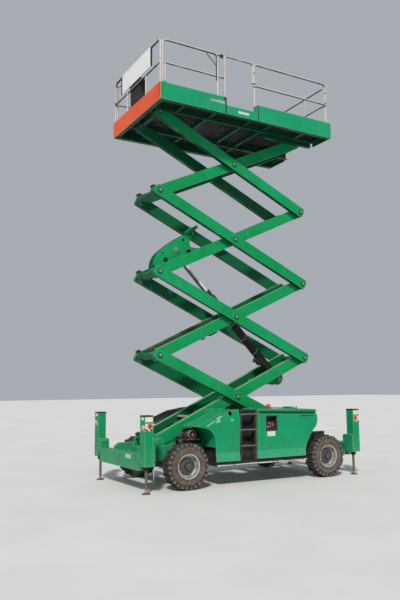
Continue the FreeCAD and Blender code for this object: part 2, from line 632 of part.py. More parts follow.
# The rim's profile as (radius, distance in from the tyre's outer face)
rim_path = [(RIM_R, BEAD_IN), (FLANGE_R, BEAD_IN), (FLANGE_R, 16), (200, 22), (WELL_R, DISC_IN),
            (HUB_R - 10, 64), (HUB_R - 10, 84), (WELL_R - 10, DISC_IN + 20), (WELL_R, 210),
            (200, TYRE_WIDTH - 22), (FLANGE_R, TYRE_WIDTH - 16), (FLANGE_R, TYRE_WIDTH - BEAD_IN),
            (RIM_R, TYRE_WIDTH - BEAD_IN)]


def rim(end, side):
    sy = SIDE[side]
    centre = (AXLE_X[end], WHEEL_R)
    inner_face = (KNUCKLE_FLANGE if end == "front" else HUB_FLANGE_END) + 2
    drum = cyl("y", centre, HUB_R, sy * inner_face, sy * (TYRE_OUT - 78))
    cap = cyl("y", centre, CAP_R, sy * (TYRE_OUT - 79), sy * CAP_OUT)
    whole = fuse([turned(centre, rim_path, sy), drum, cap])
    return whole.cut(cyl("y", centre, SPINDLE_R + PIN_RUN, sy * (inner_face - 1), sy * (SPINDLE_END + 5)))


SHOULDER = 40.0
WALL_R = 320.0
BEAD_GAP = 0.5
LUG_ROOT = 46.0
LUG_HALF_OUT = (-20.0, 16.0)
LUG_HALF_MID = (-6.0, 20.0)
LUG_PAST_MID = 12.0


def tyre(end, side):
    # One pitch holds a lug on each half of the tread, half a pitch apart; each facet is half a pitch wide.
    sy = SIDE[side]
    half_angle = 180.0 / (2 * LUG_PITCHES)
    spread = tan(radians(half_angle))
    base = WHEEL_R - LUG_HEIGHT
    bead = (RIM_R + TYRE_SEAT) / cos(radians(half_angle))
    w = TYRE_WIDTH
    lip = FLANGE_R + 2
    seat = BEAD_IN + BEAD_GAP
    section = [(bead, seat), (lip, seat), (lip, 10), (WALL_R, 0), (base, SHOULDER), (base, w - SHOULDER),
               (WALL_R, w), (lip, w - 10), (lip, w - seat), (bead, w - seat)]
    slab = prism("z", [(r, TYRE_OUT - d) for r, d in section], -WHEEL_R * spread, WHEEL_R * spread)
    reach = 2 * WHEEL_R
    wedge = [(0, 0), (reach, -reach * spread), (reach, reach * spread)]
    facet = slab.common(prism("y", wedge, TYRE_OUT - w - 1, TYRE_OUT + 1))
    out = TYRE_OUT - 4
    mid = TYRE_OUT - w / 2 - LUG_PAST_MID
    lug_face = face("x", [(out, LUG_HALF_OUT[0]), (out, LUG_HALF_OUT[1]), (mid, LUG_HALF_MID[1]),
                          (mid, LUG_HALF_MID[0])], base - LUG_ROOT)
    lug = lug_face.extrude(V(LUG_ROOT + LUG_HEIGHT, 0, 0))
    shoulder = [(base - LUG_ROOT - 4, TYRE_OUT + 1), (base - LUG_ROOT, out), (WHEEL_R, out - 30),
                (WHEEL_R + 5, TYRE_OUT + 1)]
    lug = lug.cut(prism("z", shoulder, -60, 60))
    whole = []
    for i in range(2 * LUG_PITCHES):
        step = facet.copy()
        mine = lug.copy()
        if i % 2:
            mine = mine.mirror(V(0, TYRE_OUT - w / 2, 0), V(0, 1, 0))
        step = step.fuse(mine)
        step.rotate(V(0, 0, 0), V(0, 1, 0), i * 2 * half_angle)
        whole.append(step)
    ring = whole[0].multiFuse(whole[1:]).removeSplitter()
    if sy < 0:
        ring = flip_y(ring)
    ring.translate(V(AXLE_X[end], 0, WHEEL_R))
    return ring


for end in AXLE_X:
    for side in SIDE:
        save("tyre_%s_%s" % (end, side), [tyre(end, side)])
        save("rim_%s_%s" % (end, side), [rim(end, side)])

# Side trays: an open pan, the walls that carry the hoods' hinge rods, and gussets under the frame rails
TRAY_X = (-985.0, 1120.0)
HINGE_Y = RAIL_OUT + 6.0
WALL_TOP = HINGE_Z - 18.0
GUSSET_X = (-900.0, 60.0, 1040.0)
EAR_R = 9.5
EAR_T = 12.0
EAR_X = (-870.0, -680.0, -490.0, -40.0, 640.0, 1310.0)
ROD_X = ((-876.0, -484.0), (-46.0, 1316.0))
front_wall = [(TRAY_X[0], TRAY_Z[1]), (TRAY_X[0], 1100), (-880, 1300), (-880, WALL_TOP),
              (-470, WALL_TOP), (-470, TRAY_Z[1])]
rear_wall = [(-50, TRAY_Z[1]), (-50, WALL_TOP), (1330, WALL_TOP), (1360, 1250),
             ((1300, 960), (TRAY_X[1], 800)), (TRAY_X[1], TRAY_Z[1])]
pan = box(TRAY_X[0], TRAY_X[1], RAIL_OUT, TRAY_HALF, TRAY_Z[0], TRAY_Z[1])
pan = pan.cut(box(TRAY_X[0] + TRAY_T, TRAY_X[1] - TRAY_T, RAIL_OUT + TRAY_T, TRAY_HALF - TRAY_T,
                  TRAY_Z[0] + TRAY_T, TRAY_Z[1] + 1))
tray = [pan]
tray += [prism("y", outline, RAIL_OUT, RAIL_OUT + WALL_T) for outline in (front_wall, rear_wall)]
tray += [cyl("x", (HINGE_Y, HINGE_Z), HINGE_R, x0, x1) for x0, x1 in ROD_X]
for x in EAR_X:
    tray.append(cyl("x", (HINGE_Y, HINGE_Z), EAR_R, x - EAR_T / 2, x + EAR_T / 2))
    tray.append(box(x - EAR_T / 2, x + EAR_T / 2, RAIL_OUT, HINGE_Y + HINGE_R, WALL_TOP - EAR_T, HINGE_Z))
gusset = [(RAIL_IN + 10, RAIL_Z[0]), (RAIL_OUT + 1, RAIL_Z[0]), (RAIL_OUT + 1, TRAY_Z[0])]
tray += [prism("x", gusset, x - EAR_T / 2, x + EAR_T / 2) for x in GUSSET_X]
save("side_trays", both(fuse(tray)))

# Engine behind the left front hood, with its pump drive standing out over the front wheel
FLOOR_Z = TRAY_Z[0] + TRAY_T
DRIVE_Z = 2 * WHEEL_R + 22.0
DRIVE_PLATE_T = 8.0
DRIVE_X = (-1620.0, -1180.0)
DRIVE_OUT = 855.0
POST_X = (-1540.0, -1240.0)
PUMP = (-1330.0, 955.0)
ALTERNATOR = (-1520.0, 935.0)
ENGINE_X = (-955.0, -510.0)
ENGINE_TOP = 1060.0
ENGINE_Y = (RAIL_OUT + 50.0, HOOD_OUT - 70.0)
TANK_TOP = 1000.0
BATTERY_X = (450.0, 1050.0)
BATTERY_TOP = 1050.0
drive = [box(DRIVE_X[0], DRIVE_X[1], -DRIVE_OUT, -RAIL_OUT, DRIVE_Z, DRIVE_Z + DRIVE_PLATE_T)]
for x in POST_X:
    drive.append(box(x - 20, x + 20, -RAIL_OUT - 12, -RAIL_OUT, RAIL_Z[1] - 40, DRIVE_Z + DRIVE_PLATE_T))
# Each round piece of the drive as (centre, radius, outer end, inner end)
for centre, r, out, inner in ((PUMP, 72, -845, -690), (PUMP, 84, -828, -800), (PUMP, 26, -862, -840),
                              (ALTERNATOR, 56, -840, -700)):
    drive.append(cyl("y", centre, r, out, inner))
for x, z in (PUMP, ALTERNATOR):
    drive.append(box(x - 40, x + 40, -820, -710, DRIVE_Z, DRIVE_Z + 30))
engine = box(ENGINE_X[0], ENGINE_X[1], -ENGINE_Y[1], -ENGINE_Y[0], FLOOR_Z, ENGINE_TOP)
save("engine_block", [engine, fuse(drive)])
tank = box(ENGINE_X[0], ENGINE_X[1], ENGINE_Y[0], ENGINE_Y[1], FLOOR_Z, TANK_TOP)
battery = box(BATTERY_X[0], BATTERY_X[1], ENGINE_Y[0], ENGINE_Y[1], FLOOR_Z, BATTERY_TOP)
save("side_tanks", [tank, battery])

# Ladder on the left side, in front of a back plate, over a step box
LADDER_X = (-425.0, -90.0)
LADDER_Y = (-HOOD_OUT + 38.0, -HOOD_OUT + 90.0)
RUNG_Z = (1000.0, 1290.0)
RUNG_T = 25.0
RUNG_FOLD = 6.0
STEP_Z = 700.0
LADDER_BACK = LADDER_Y[1] + 155.0
ladder = [box(x - 12, x + 12, LADDER_Y[0], LADDER_Y[1], FLOOR_Z, HINGE_Z) for x in LADDER_X]
for z in RUNG_Z:
    front, back = LADDER_Y[0], LADDER_Y[1] + 20
    under = z + RUNG_T - RUNG_FOLD
    tread = [(front, z + RUNG_T), (front, z), (front + RUNG_FOLD, z), (front + RUNG_FOLD, under),
             (back - RUNG_FOLD, under), (back - RUNG_FOLD, z), (back, z), (back, z + RUNG_T)]
    ladder.append(prism("x", tread, LADDER_X[0], LADDER_X[1]))
step_box = box(LADDER_X[0] + 12, LADDER_X[1] - 12, LADDER_Y[1] - 25, LADDER_BACK, FLOOR_Z, STEP_Z)
step_box = step_box.cut(box(LADDER_X[0] + 30, LADDER_X[1] - 30, LADDER_Y[0], LADDER_Y[1] + 15,
                            FLOOR_Z + 25, STEP_Z - 25))
ladder += [step_box, box(LADDER_X[0], LADDER_X[1], LADDER_Y[0], LADDER_BACK + 5, STEP_Z, STEP_Z + RUNG_T)]
ladder.append(box(LADDER_X[0] - 12, LADDER_X[1] + 12, LADDER_BACK, LADDER_BACK + 8, FLOOR_Z, HINGE_Z - 20))
save("ladder", [fuse(ladder)])

# Hoods: folded skins shaped by a side outline, a cross section and a plan; open below and on the inner side
HOOD_IN = HINGE_Y + 10.0
FRONT_LOW = 462.0
REAR_LOW = 470.0
CROWN_Z = 1120.0
CROWN_IN = 95.0
HOOD_TOP = HINGE_Z + 60.0
BAND_BELOW = (40.0, 95.0)
BAND_DEPTH = 22.0
FRONT_WALL_LOW = 720.0
LOOP_R = 11.0
LOOP_HALF = 40.0
STRAP_DROP = 80.0
HOOD_REACH = 2000.0
front_outline = [(-1406, 1112), (-1190, 1074), ((-1044, 944), (-1009, 807)), (-1000, FRONT_LOW),
                 (-489, FRONT_LOW), (-463, 1403), (-876, 1338)]
rear_outline = [(-68, REAR_LOW), (1061, REAR_LOW), (1078, 584), ((1160, 780), (1300, 975)),
                ((1385, 1080), (1396, 1230)), (1373, 1365), (-54, 1405)]


def hood_section(t, inner, low, crowned):
    # Flared foot, upright side, and on the front hoods a crown that leans in; set in by t.
    side = HOOD_OUT - t
    path = [(inner, low), (HOOD_FLARE - t, low), (side, FLARE_TOP)]
    if crowned:
        middle = (CROWN_Z + HOOD_TOP) / 2
        path += [(side, CROWN_Z), ((side - CROWN_IN / 4, middle), (side - CROWN_IN, HOOD_TOP))]
    else:
        path.append((side, HOOD_TOP))
    return path + [(inner, HOOD_TOP)]


def hood_plan(t, inner, x0, x1):
    # The front corner is rounded off.
    a = x0 + t
    return [(a, inner), (a, HOOD_OUT - 50 - t), ((a + 16, HOOD_OUT - 8 - t), (a + 62, HOOD_FLARE + 3 - t)),
            (x1 - t, HOOD_FLARE + 3 - t), (x1 - t, inner)]


def hood(outline, low, crowned, strap_x):
    # The room inside reaches past the skin below and on the inner side, where the hood is open.
    x0 = min(p[0] for p in outline if not isinstance(p[0], tuple))
    x1 = x0 + HOOD_REACH
    beyond = HOOD_FLARE + 10
    under = HOOD_IN - 50
    foot = [p[0] for p in outline if p[1] == low]
    outside = prism("y", outline, HOOD_IN, beyond)
    outside = outside.common(prism("x", hood_section(0, HOOD_IN, low, crowned), x0 - 10, x1))
    room = inset("y", outline, under, beyond, SKIN)
    room = room.fuse(box(min(foot) + SKIN, max(foot) - SKIN, under, beyond, low - 40, FLARE_TOP - 20))
    room = room.common(prism("x", hood_section(SKIN, under, low - 50, crowned), x0 - 10, x1))
    if crowned:
        outside = outside.cut(box(x0, min(foot) + SKIN + 4, HOOD_IN - 1, HOOD_OUT - SKIN - 6,
                                  low - 1, FRONT_WALL_LOW))
    else:
        outside = outside.common(prism("z", hood_plan(0, under - 10, x0, x1), low - 60, HOOD_TOP))
        room = room.common(prism("z", hood_plan(SKIN, under - 10, x0, x1), low - 60, HOOD_TOP))
        left, right = outline[-1], outline[-2]
        band = [(left[0] - 60, left[1] - BAND_BELOW[1]), (right[0] + 60, right[1] - BAND_BELOW[1]),
                (right[0] + 60, right[1] - BAND_BELOW[0]), (left[0] - 60, left[1] - BAND_BELOW[0])]
        outside = outside.cut(prism("y", band, HOOD_OUT - BAND_DEPTH, beyond))
        room = room.cut(inset("y", band, HOOD_OUT - BAND_DEPTH - SKIN, beyond, -SKIN))
    loops = []
    for x in strap_x:
        ring = cyl("x", (HINGE_Y, HINGE_Z), LOOP_R, x - LOOP_HALF, x + LOOP_HALF)
        strap = box(x - LOOP_HALF, x + LOOP_HALF, HINGE_Y + 5, HOOD_IN + SKIN,
                    HINGE_Z - STRAP_DROP, HINGE_Z)
        bore = cyl("x", (HINGE_Y, HINGE_Z), HINGE_R + HINGE_RUN, x - LOOP_HALF - 1, x + LOOP_HALF + 1)
        loops.append(ring.fuse(strap).cut(bore))
    return fuse([outside.cut(room)] + loops)


# The left rear hood has a window for the ground controls, the left front one a worn round hole
WINDOW_X = (133.0, 383.0)
WINDOW_Z = (987.0, 1259.0)
HOLE = (-673.0, 1330.0)
HOLE_R = 36.0
front_hood = hood(front_outline, FRONT_LOW, True, (-780.0, -580.0))
rear_hood = hood(rear_outline, REAR_LOW, False, (150.0, 1150.0))
window = box(WINDOW_X[0], WINDOW_X[1], -HOOD_FLARE, -HOOD_OUT + 50, WINDOW_Z[0], WINDOW_Z[1])
hole = cyl("y", HOLE, HOLE_R, -HOOD_FLARE, -HOOD_OUT + 150)
save("hood_front_left", [flip_y(front_hood).cut(hole)])
save("hood_front_right", [front_hood])
save("hood_rear_left", [flip_y(rear_hood).cut(window)])
save("hood_rear_right", [rear_hood])

# Ground controls: a deep box behind the window on a stem, with a sloping panel, knobs and a stop button
PANEL_FACE = -HOOD_OUT + 16.0
CASE_BACK = PANEL_FACE + 114.0
CASE_BELOW = 117.0
CASE_WALL = 5.0
slope_low = (PANEL_FACE + 30, WINDOW_Z[0] + CASE_WALL)
slope_high = (CASE_BACK - 30, WINDOW_Z[1] - 60)
controls = box(WINDOW_X[0] - CASE_WALL, WINDOW_X[1] + CASE_WALL, PANEL_FACE, CASE_BACK,
               WINDOW_Z[0] - CASE_BELOW, WINDOW_Z[1] + CASE_WALL)
slope = [(PANEL_FACE - 1, slope_low[1]), slope_low, slope_high, (slope_high[0], WINDOW_Z[1] - CASE_WALL),
         (PANEL_FACE - 1, WINDOW_Z[1] - CASE_WALL)]
controls = controls.cut(prism("x", slope, WINDOW_X[0] + CASE_WALL, WINDOW_X[1] - CASE_WALL))
stem = box(WINDOW_X[0] + 50, WINDOW_X[1] - 50, CASE_BACK, CASE_BACK + 20, FLOOR_Z, WINDOW_Z[0] - 90)
face_tilt = degrees(atan2(slope_high[1] - slope_low[1], slope_high[0] - slope_low[0]))
# Each knob as (x from the window's front edge, distance up the slope, radius, height); the last is the stop
KNOBS = ((57.0, 60.0, 13.0, 24.0), (112.0, 60.0, 13.0, 24.0), (57.0, 130.0, 11.0, 20.0),
         (112.0, 130.0, 11.0, 20.0), (185.0, 95.0, 27.0, 30.0))
knobs = []
for x, up, r, tall in KNOBS:
    knob = Part.makeCylinder(r, tall, V(WINDOW_X[0] + x, 0, up), V(0, -1, 0))
    knob.rotate(V(0, 0, 0), V(1, 0, 0), face_tilt - 90)
    knob.translate(V(0, slope_low[0], slope_low[1]))
    knobs.append(knob)
save("ground_control_panel", [fuse([controls, stem] + knobs)])

# Beacon on the left rear hood's roof: a ribbed base and a domed lens
BEACON = (510.0, -700.0)
roof_z = rear_outline[-1][1] + (rear_outline[-2][1] - rear_outline[-1][1]) * (
    (BEACON[0] - rear_outline[-1][0]) / (rear_outline[-2][0] - rear_outline[-1][0]))
beacon_path = [(0, roof_z - 20), (52, roof_z - 20), (52, roof_z + 16), (44, roof_z + 22), (44, roof_z + 62),
               ((38, roof_z + 80), (22, roof_z + 88)), (0, roof_z + 90)]
dome = face("y", beacon_path, 0).revolve(V(0, 0, 0), V(0, 0, 1), 360)
dome.translate(V(BEACON[0], BEACON[1], 0))
left, right = rear_outline[-1], rear_outline[-2]
under_roof = [(left[0], left[1] - 60), (right[0], right[1] - 60), (right[0], right[1] + FACE_GAP),
              (left[0], left[1] + FACE_GAP)]
save("beacon", [dome.cut(prism("y", under_roof, BEACON[1] - 100, BEACON[1] + 100))])

# Platform frame: deck plate on side beams, cross members where the folded arms leave room, the arms' lugs
END_T = 12.0
DECK_IN = (DECK_X[0] + END_T, DECK_X[1] - END_T)
BEAM_IN = 1050.0
BEAM_OUT = PANEL_HALF - PANEL_T
LONG_Y = (540.0, 580.0)
DEEP_SHARES = (0.280, 0.504, 0.634)
SIDE_SHARES = (0.087, 0.855, 0.993)
MEMBER_HALF = 30.0
MEMBER_DEEP = 78.0
SIDE_DEEP = 108.0
NOSE_X = PIVOT_X - 205.0
across = BEAM_IN + 10
frame = both(box(DECK_IN[0], DECK_IN[1], BEAM_IN, BEAM_OUT, PANEL_Z, DECK_Z))
frame.append(box(DECK_IN[0], NOSE_X, -across, across, PANEL_Z + 10, DECK_Z))
for share in DEEP_SHARES:
    x = PIVOT_X + share * ARM_LENGTH
    frame.append(box(x - MEMBER_HALF, x + MEMBER_HALF, -across, across, DECK_Z - MEMBER_DEEP, DECK_Z))
for share in SIDE_SHARES:
    x = PIVOT_X + share * ARM_LENGTH
    frame += both(box(x - MEMBER_HALF, x + MEMBER_HALF, LONG_Y[0], across, DECK_Z - SIDE_DEEP, DECK_Z))
frame += both(box(NOSE_X, DECK_IN[1] - 18, LONG_Y[0], LONG_Y[1], DECK_Z - SIDE_DEEP, DECK_Z))
frame.append(box(DECK_IN[0], DECK_IN[1], -BEAM_OUT, BEAM_OUT, DECK_Z, DECK_Z + DECK_T))
arc_z = TOP_PIVOT_Z - 20
hanger_outline = [(PIVOT_X - 155, DECK_Z + 1), (PIVOT_X - 70, arc_z),
                  ((PIVOT_X, TOP_PIVOT_Z - 66), (PIVOT_X + 70, arc_z)), (PIVOT_X + 155, DECK_Z + 1)]
hanger_lug = prism("y", hanger_outline, INNER_Y[0] + 15, INNER_Y[1])
hanger_lug = hanger_lug.cut(cyl("y", (PIVOT_X, TOP_PIVOT_Z), PIN_R + PIN_RUN, INNER_Y[0], OUTER_IN))
save("platform_frame", [fuse(frame + both(hanger_lug))])

# Upper tracks: angle rails under the deck that the top rollers run on
WEB_T = 11.0
UPPER_RIBS = 4
track_floor = TOP_PIVOT_Z - ROLLER_R - ROLLER_PLAY
web_in = UPPER_ROLLER_Y + UPPER_ROLLER_WIDTH + 7
web_out = web_in + WEB_T
upper_x = (NEAR_REACH - ROLLER_R - TRACK_MARGIN, DECK_IN[1] - 6)
web = box(upper_x[0], upper_x[1], web_in, web_out, track_floor - TRACK_T, DECK_Z)
flange = box(upper_x[0], upper_x[1], UPPER_ROLLER_Y - 3, web_out, track_floor - TRACK_T, track_floor)
ribs = []
rib_outline = [(web_out - 1, DECK_Z), (web_out - 1, track_floor), (LONG_Y[0] - 15, DECK_Z)]
for i in range(UPPER_RIBS):
    x = upper_x[0] + RIB_IN + i * (upper_x[1] - upper_x[0] - 2 * RIB_IN) / (UPPER_RIBS - 1)
    ribs.append(prism("x", rib_outline, x - RIB_T / 2, x + RIB_T / 2))
save("platform_tracks", both(fuse([web, flange] + ribs)))

# Fixed panels: a low sill at the entry, tall panels with turned-in edges on the other sides
FOLD = 42.0
FOLD_T = 6.0
CORNER_CUT = 14.0
NOTCH_HALF = 525.0
SILL_X = SECTION_X + 3
panel_in = PANEL_HALF - PANEL_T
sill = box(SILL_X, ENTRY_X, -PANEL_HALF, -panel_in, PANEL_Z, DECK_Z + DECK_T)
tall = [(ENTRY_X, PANEL_Z), (DECK_X[1], PANEL_Z), (DECK_X[1], PANEL_TOP),
        (ENTRY_X + CORNER_CUT, PANEL_TOP), (ENTRY_X, PANEL_TOP - CORNER_CUT)]
near_tall = prism("y", tall, -PANEL_HALF, -panel_in)
fold = box(ENTRY_X, ENTRY_X + FOLD_T, -panel_in - 1, -panel_in + FOLD,
           DECK_Z + DECK_T, PANEL_TOP - CORNER_CUT)
far_side = [(SILL_X, PANEL_Z), (DECK_X[1], PANEL_Z), (DECK_X[1], PANEL_TOP), (SILL_X, PANEL_TOP)]
far_tall = prism("y", far_side, panel_in, PANEL_HALF)
end_panel = box(DECK_IN[1], DECK_X[1], -panel_in, panel_in, PANEL_Z, PANEL_TOP)
notch = box(DECK_IN[1] - 10, DECK_X[1] + 10, -NOTCH_HALF, NOTCH_HALF, PANEL_Z - 1, DECK_Z)
end_panel = end_panel.cut(notch)
lip = box(DECK_IN[1] - 20, DECK_IN[1] + 1, -panel_in, panel_in, PANEL_TOP - FOLD_T, PANEL_TOP)
save("fixed_panels", [fuse([sill, near_tall, fold, far_tall, end_panel, lip])])

# Guard rails: sections of bent tube with welded posts and a middle rail
FOOT = DECK_Z + DECK_T
RAIL_Y = PANEL_HALF - PANEL_T - TUBE_R - 0.5
CROSS_RAIL_X = DECK_X[1] - 95.0
ENTRY_POST_X = ENTRY_X - 25.0
SECTION_STEP = 2 * TUBE_R + 1.0
CROSS_DROP = 60.0
CROSS_POST_Y = 400.0


def rail_section(axis, across, ends, posts, foot, top):
    # One bent tube makes both end posts and the top rail; posts are (place, low end, high end).
    def at(place, z):
        return (place, across, z) if axis == "x" else (across, place, z)

    line = top - TUBE_R
    sides = V(0, 1, 0) if axis == "x" else V(-1, 0, 0)
    pieces = [cyl(axis, (across, line), TUBE_R, ends[0] + BEND_R, ends[1] - BEND_R),
              cyl(axis, (across, RAIL_MID), POST_R, ends[0], ends[1])]
    for place, turn in ((ends[0], 1), (ends[1], -1)):
        low = at(place, line - BEND_R)
        pieces.append(bar(at(place, foot), low, TUBE_R))
        ring = Part.Face(Part.Wire(Part.Circle(V(*low), V(0, 0, 1), TUBE_R).toShape()))
        pieces.append(ring.revolve(V(*at(place + turn * BEND_R, line - BEND_R)), sides, turn * 90))
    for place, z0, z1 in posts:
        pieces.append(bar(at(place, z0), at(place, z1), POST_R))
    return fuse(pieces)


top_line = RAIL_TOP - TUBE_R
cross_top = RAIL_TOP - CROSS_DROP
near = rail_section("x", -RAIL_Y, (ENTRY_POST_X, CROSS_RAIL_X), [], FOOT, RAIL_TOP)
far = rail_section("x", RAIL_Y, (-640.0, CROSS_RAIL_X), [(220.0, FOOT, top_line), (1080.0, FOOT, top_line)],
                   FOOT, RAIL_TOP)
cross_end = RAIL_Y - SECTION_STEP
cross_line = cross_top - TUBE_R
cross = rail_section("y", CROSS_RAIL_X, (-cross_end, cross_end),
                     [(-CROSS_POST_Y, FOOT, cross_line), (CROSS_POST_Y, FOOT, cross_line)], FOOT, cross_top)
save("fixed_rails", [near, far, cross])

# Gate bar at the entry: turns on the entry post and bends down beside it to a ring
GATE_R = 16.0
GATE_RING_R = 34.0
GATE_RING_Z = (RAIL_MID + 40.0, RAIL_MID + 90.0)
GATE_BEND = 60.0
gate_x = (-630.0, ENTRY_POST_X - 36.0)
elbow_z = top_line - GATE_BEND
down = cyl("z", (gate_x[1], -RAIL_Y), GATE_R, GATE_RING_Z[0] + 10, elbow_z)
ring_face = Part.Face(Part.Wire(Part.Circle(V(gate_x[1], -RAIL_Y, elbow_z), V(0, 0, 1), GATE_R).toShape()))
elbow = ring_face.revolve(V(gate_x[1] - GATE_BEND, -RAIL_Y, elbow_z), V(0, 1, 0), -90)
level = cyl("x", (-RAIL_Y, top_line), GATE_R, gate_x[0], gate_x[1] - GATE_BEND)
ring = cyl("z", (ENTRY_POST_X, -RAIL_Y), GATE_RING_R, GATE_RING_Z[0], GATE_RING_Z[1])
bore = cyl("z", (ENTRY_POST_X, -RAIL_Y), TUBE_R + PIN_RUN, GATE_RING_Z[0] - 1, GATE_RING_Z[1] + 1)
save("gate_bar", [fuse([level, elbow, down, ring]).cut(bore)])

# Roll-out deck: a plate on skids over the fixed deck, with side panels, lips and the end panel
ROLL_X = (DECK_IN[0], SECTION_X - 3)
roll_floor = DECK_Z + ROLL_FLOOR_UP
roll_in = PANEL_HALF - ROLL_PANEL_T
SKID_X = (-2000.0, -800.0)
SKID_Y = (-1000.0, 0.0, 1000.0)
ROLL_PLATE_T = 10.0
ROLL_LIP = 26.0
cut_z = PANEL_TOP - CORNER_CUT
side = [(ROLL_X[0], PANEL_Z), (ROLL_X[1], PANEL_Z), (ROLL_X[1], cut_z), (ROLL_X[1] - CORNER_CUT, PANEL_TOP),
        (ROLL_X[0] + CORNER_CUT, PANEL_TOP), (ROLL_X[0], cut_z)]
rollout = [box(DECK_IN[0], SECTION_X, -roll_in + 15, roll_in - 15, roll_floor, roll_floor + ROLL_PLATE_T)]
rollout += both(prism("y", side, roll_in, PANEL_HALF))
rollout += both(box(ROLL_X[0], ROLL_X[1], roll_in - 20, roll_in + 1, roll_floor, roll_floor + ROLL_LIP))
for x in SKID_X:
    for y in SKID_Y:
        rollout.append(box(x - 60, x + 60, y - 30, y + 30, DECK_Z + DECK_T + PIN_RUN, roll_floor + 1))
save("rollout_deck", [fuse(rollout)])
end_plate = box(DECK_X[0], DECK_IN[0], -PANEL_HALF, PANEL_HALF, PANEL_Z, PANEL_TOP)
end_fold = box(DECK_IN[0] - 1, DECK_IN[0] + 30, roll_in - 10, roll_in, roll_floor + ROLL_LIP, PANEL_TOP)
save("rollout_end_panel", [fuse([end_plate] + both(end_fold))])

# Roll-out rails, the blank sign panel on the front ones and the upper control box under their middle rail
ROLL_FOOT = roll_floor + ROLL_PLATE_T
END_RAIL_X = DECK_IN[0] + TUBE_R
ROLL_RAIL_Y = 1100.0
LATCH_POST_X = -690.0
NEAR_END_X = -845.0
END_POST_Y = 452.0
SHORT_POST_IN = 130.0
FAR_POST_X = -1400.0
FAR_END_X = -700.0
SQUARE_HALF = 20.0
near = rail_section("x", -ROLL_RAIL_Y, (END_RAIL_X + SECTION_STEP, NEAR_END_X),
                    [(DECK_X[0] + SHORT_POST_IN, ROLL_FOOT, RAIL_MID)], ROLL_FOOT, RAIL_TOP)
square = box(LATCH_POST_X - SQUARE_HALF, LATCH_POST_X + SQUARE_HALF, -ROLL_RAIL_Y - SQUARE_HALF,
             -ROLL_RAIL_Y + SQUARE_HALF, ROLL_FOOT, RAIL_TOP)
stays = [cyl("x", (-ROLL_RAIL_Y, z), POST_R, NEAR_END_X, LATCH_POST_X) for z in (RAIL_MID, top_line)]
near = fuse([near, square] + stays)
far = rail_section("x", ROLL_RAIL_Y, (END_RAIL_X + SECTION_STEP, FAR_END_X),
                   [(FAR_POST_X, ROLL_FOOT, top_line)], ROLL_FOOT, RAIL_TOP)
cross = rail_section("y", END_RAIL_X, (-ROLL_RAIL_Y, ROLL_RAIL_Y),
                     [(-END_POST_Y, ROLL_FOOT, RAIL_MID), (END_POST_Y, ROLL_FOOT, RAIL_MID)],
                     ROLL_FOOT, RAIL_TOP)
save("rollout_rails", [near, far, cross])
SIGN_Y = (-718.0, 680.0)
SIGN_Z = (RAIL_MID + 65, RAIL_TOP - 9)
save("sign_panel", [box(DECK_X[0], DECK_IN[0], SIGN_Y[0], SIGN_Y[1], SIGN_Z[0], SIGN_Z[1])])
BOX_Y = (-138.0, 374.0)
BOX_TOP = RAIL_MID + 110
BOX_LOW = DECK_Z + 247
BOX_DEEP = 148.0
BOX_TAPER = 30.0
STICK_IN = 95.0
box_x = END_RAIL_X + POST_R + FACE_GAP
box_end = box_x + BOX_DEEP + 1
case = prism("x", [(BOX_Y[0], BOX_TOP), (BOX_Y[1], BOX_TOP), (BOX_Y[1] - BOX_TAPER, BOX_LOW),
                   (BOX_Y[0] + BOX_TAPER, BOX_LOW)], box_x, box_x + BOX_DEEP)
top_slope = prism("y", [(box_x + 70, BOX_TOP + 1), (box_end, BOX_TOP + 1), (box_end, BOX_TOP - 70)],
                  BOX_Y[0] - 1, BOX_Y[1] + 1)
stick_x = box_x + STICK_IN
stick_y = (BOX_Y[0] + BOX_Y[1]) / 2
stick = bar((stick_x, stick_y, BOX_TOP - 40), (stick_x, stick_y, BOX_TOP + 60), 9)
knob = cyl("z", (stick_x, stick_y), 20, BOX_TOP + 50, BOX_TOP + 95)
save("upper_control_box", [fuse([case.cut(top_slope), stick, knob])])
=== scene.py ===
import json
import math
import random

import bmesh
import bpy
from mathutils import Matrix, Vector


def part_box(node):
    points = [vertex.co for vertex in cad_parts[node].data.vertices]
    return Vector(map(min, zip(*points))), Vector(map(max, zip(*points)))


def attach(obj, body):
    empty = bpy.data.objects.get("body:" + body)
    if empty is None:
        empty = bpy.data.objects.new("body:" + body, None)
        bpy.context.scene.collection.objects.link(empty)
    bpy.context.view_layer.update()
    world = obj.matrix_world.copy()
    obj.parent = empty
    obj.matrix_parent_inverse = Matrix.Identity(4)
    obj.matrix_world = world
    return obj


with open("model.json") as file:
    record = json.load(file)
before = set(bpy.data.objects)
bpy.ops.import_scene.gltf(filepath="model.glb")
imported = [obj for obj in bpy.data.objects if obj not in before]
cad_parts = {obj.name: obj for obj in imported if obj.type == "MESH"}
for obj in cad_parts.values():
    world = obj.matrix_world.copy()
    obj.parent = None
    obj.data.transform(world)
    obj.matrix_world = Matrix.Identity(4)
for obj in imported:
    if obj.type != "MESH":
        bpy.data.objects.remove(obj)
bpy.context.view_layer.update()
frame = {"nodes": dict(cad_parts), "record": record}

random.seed(7)

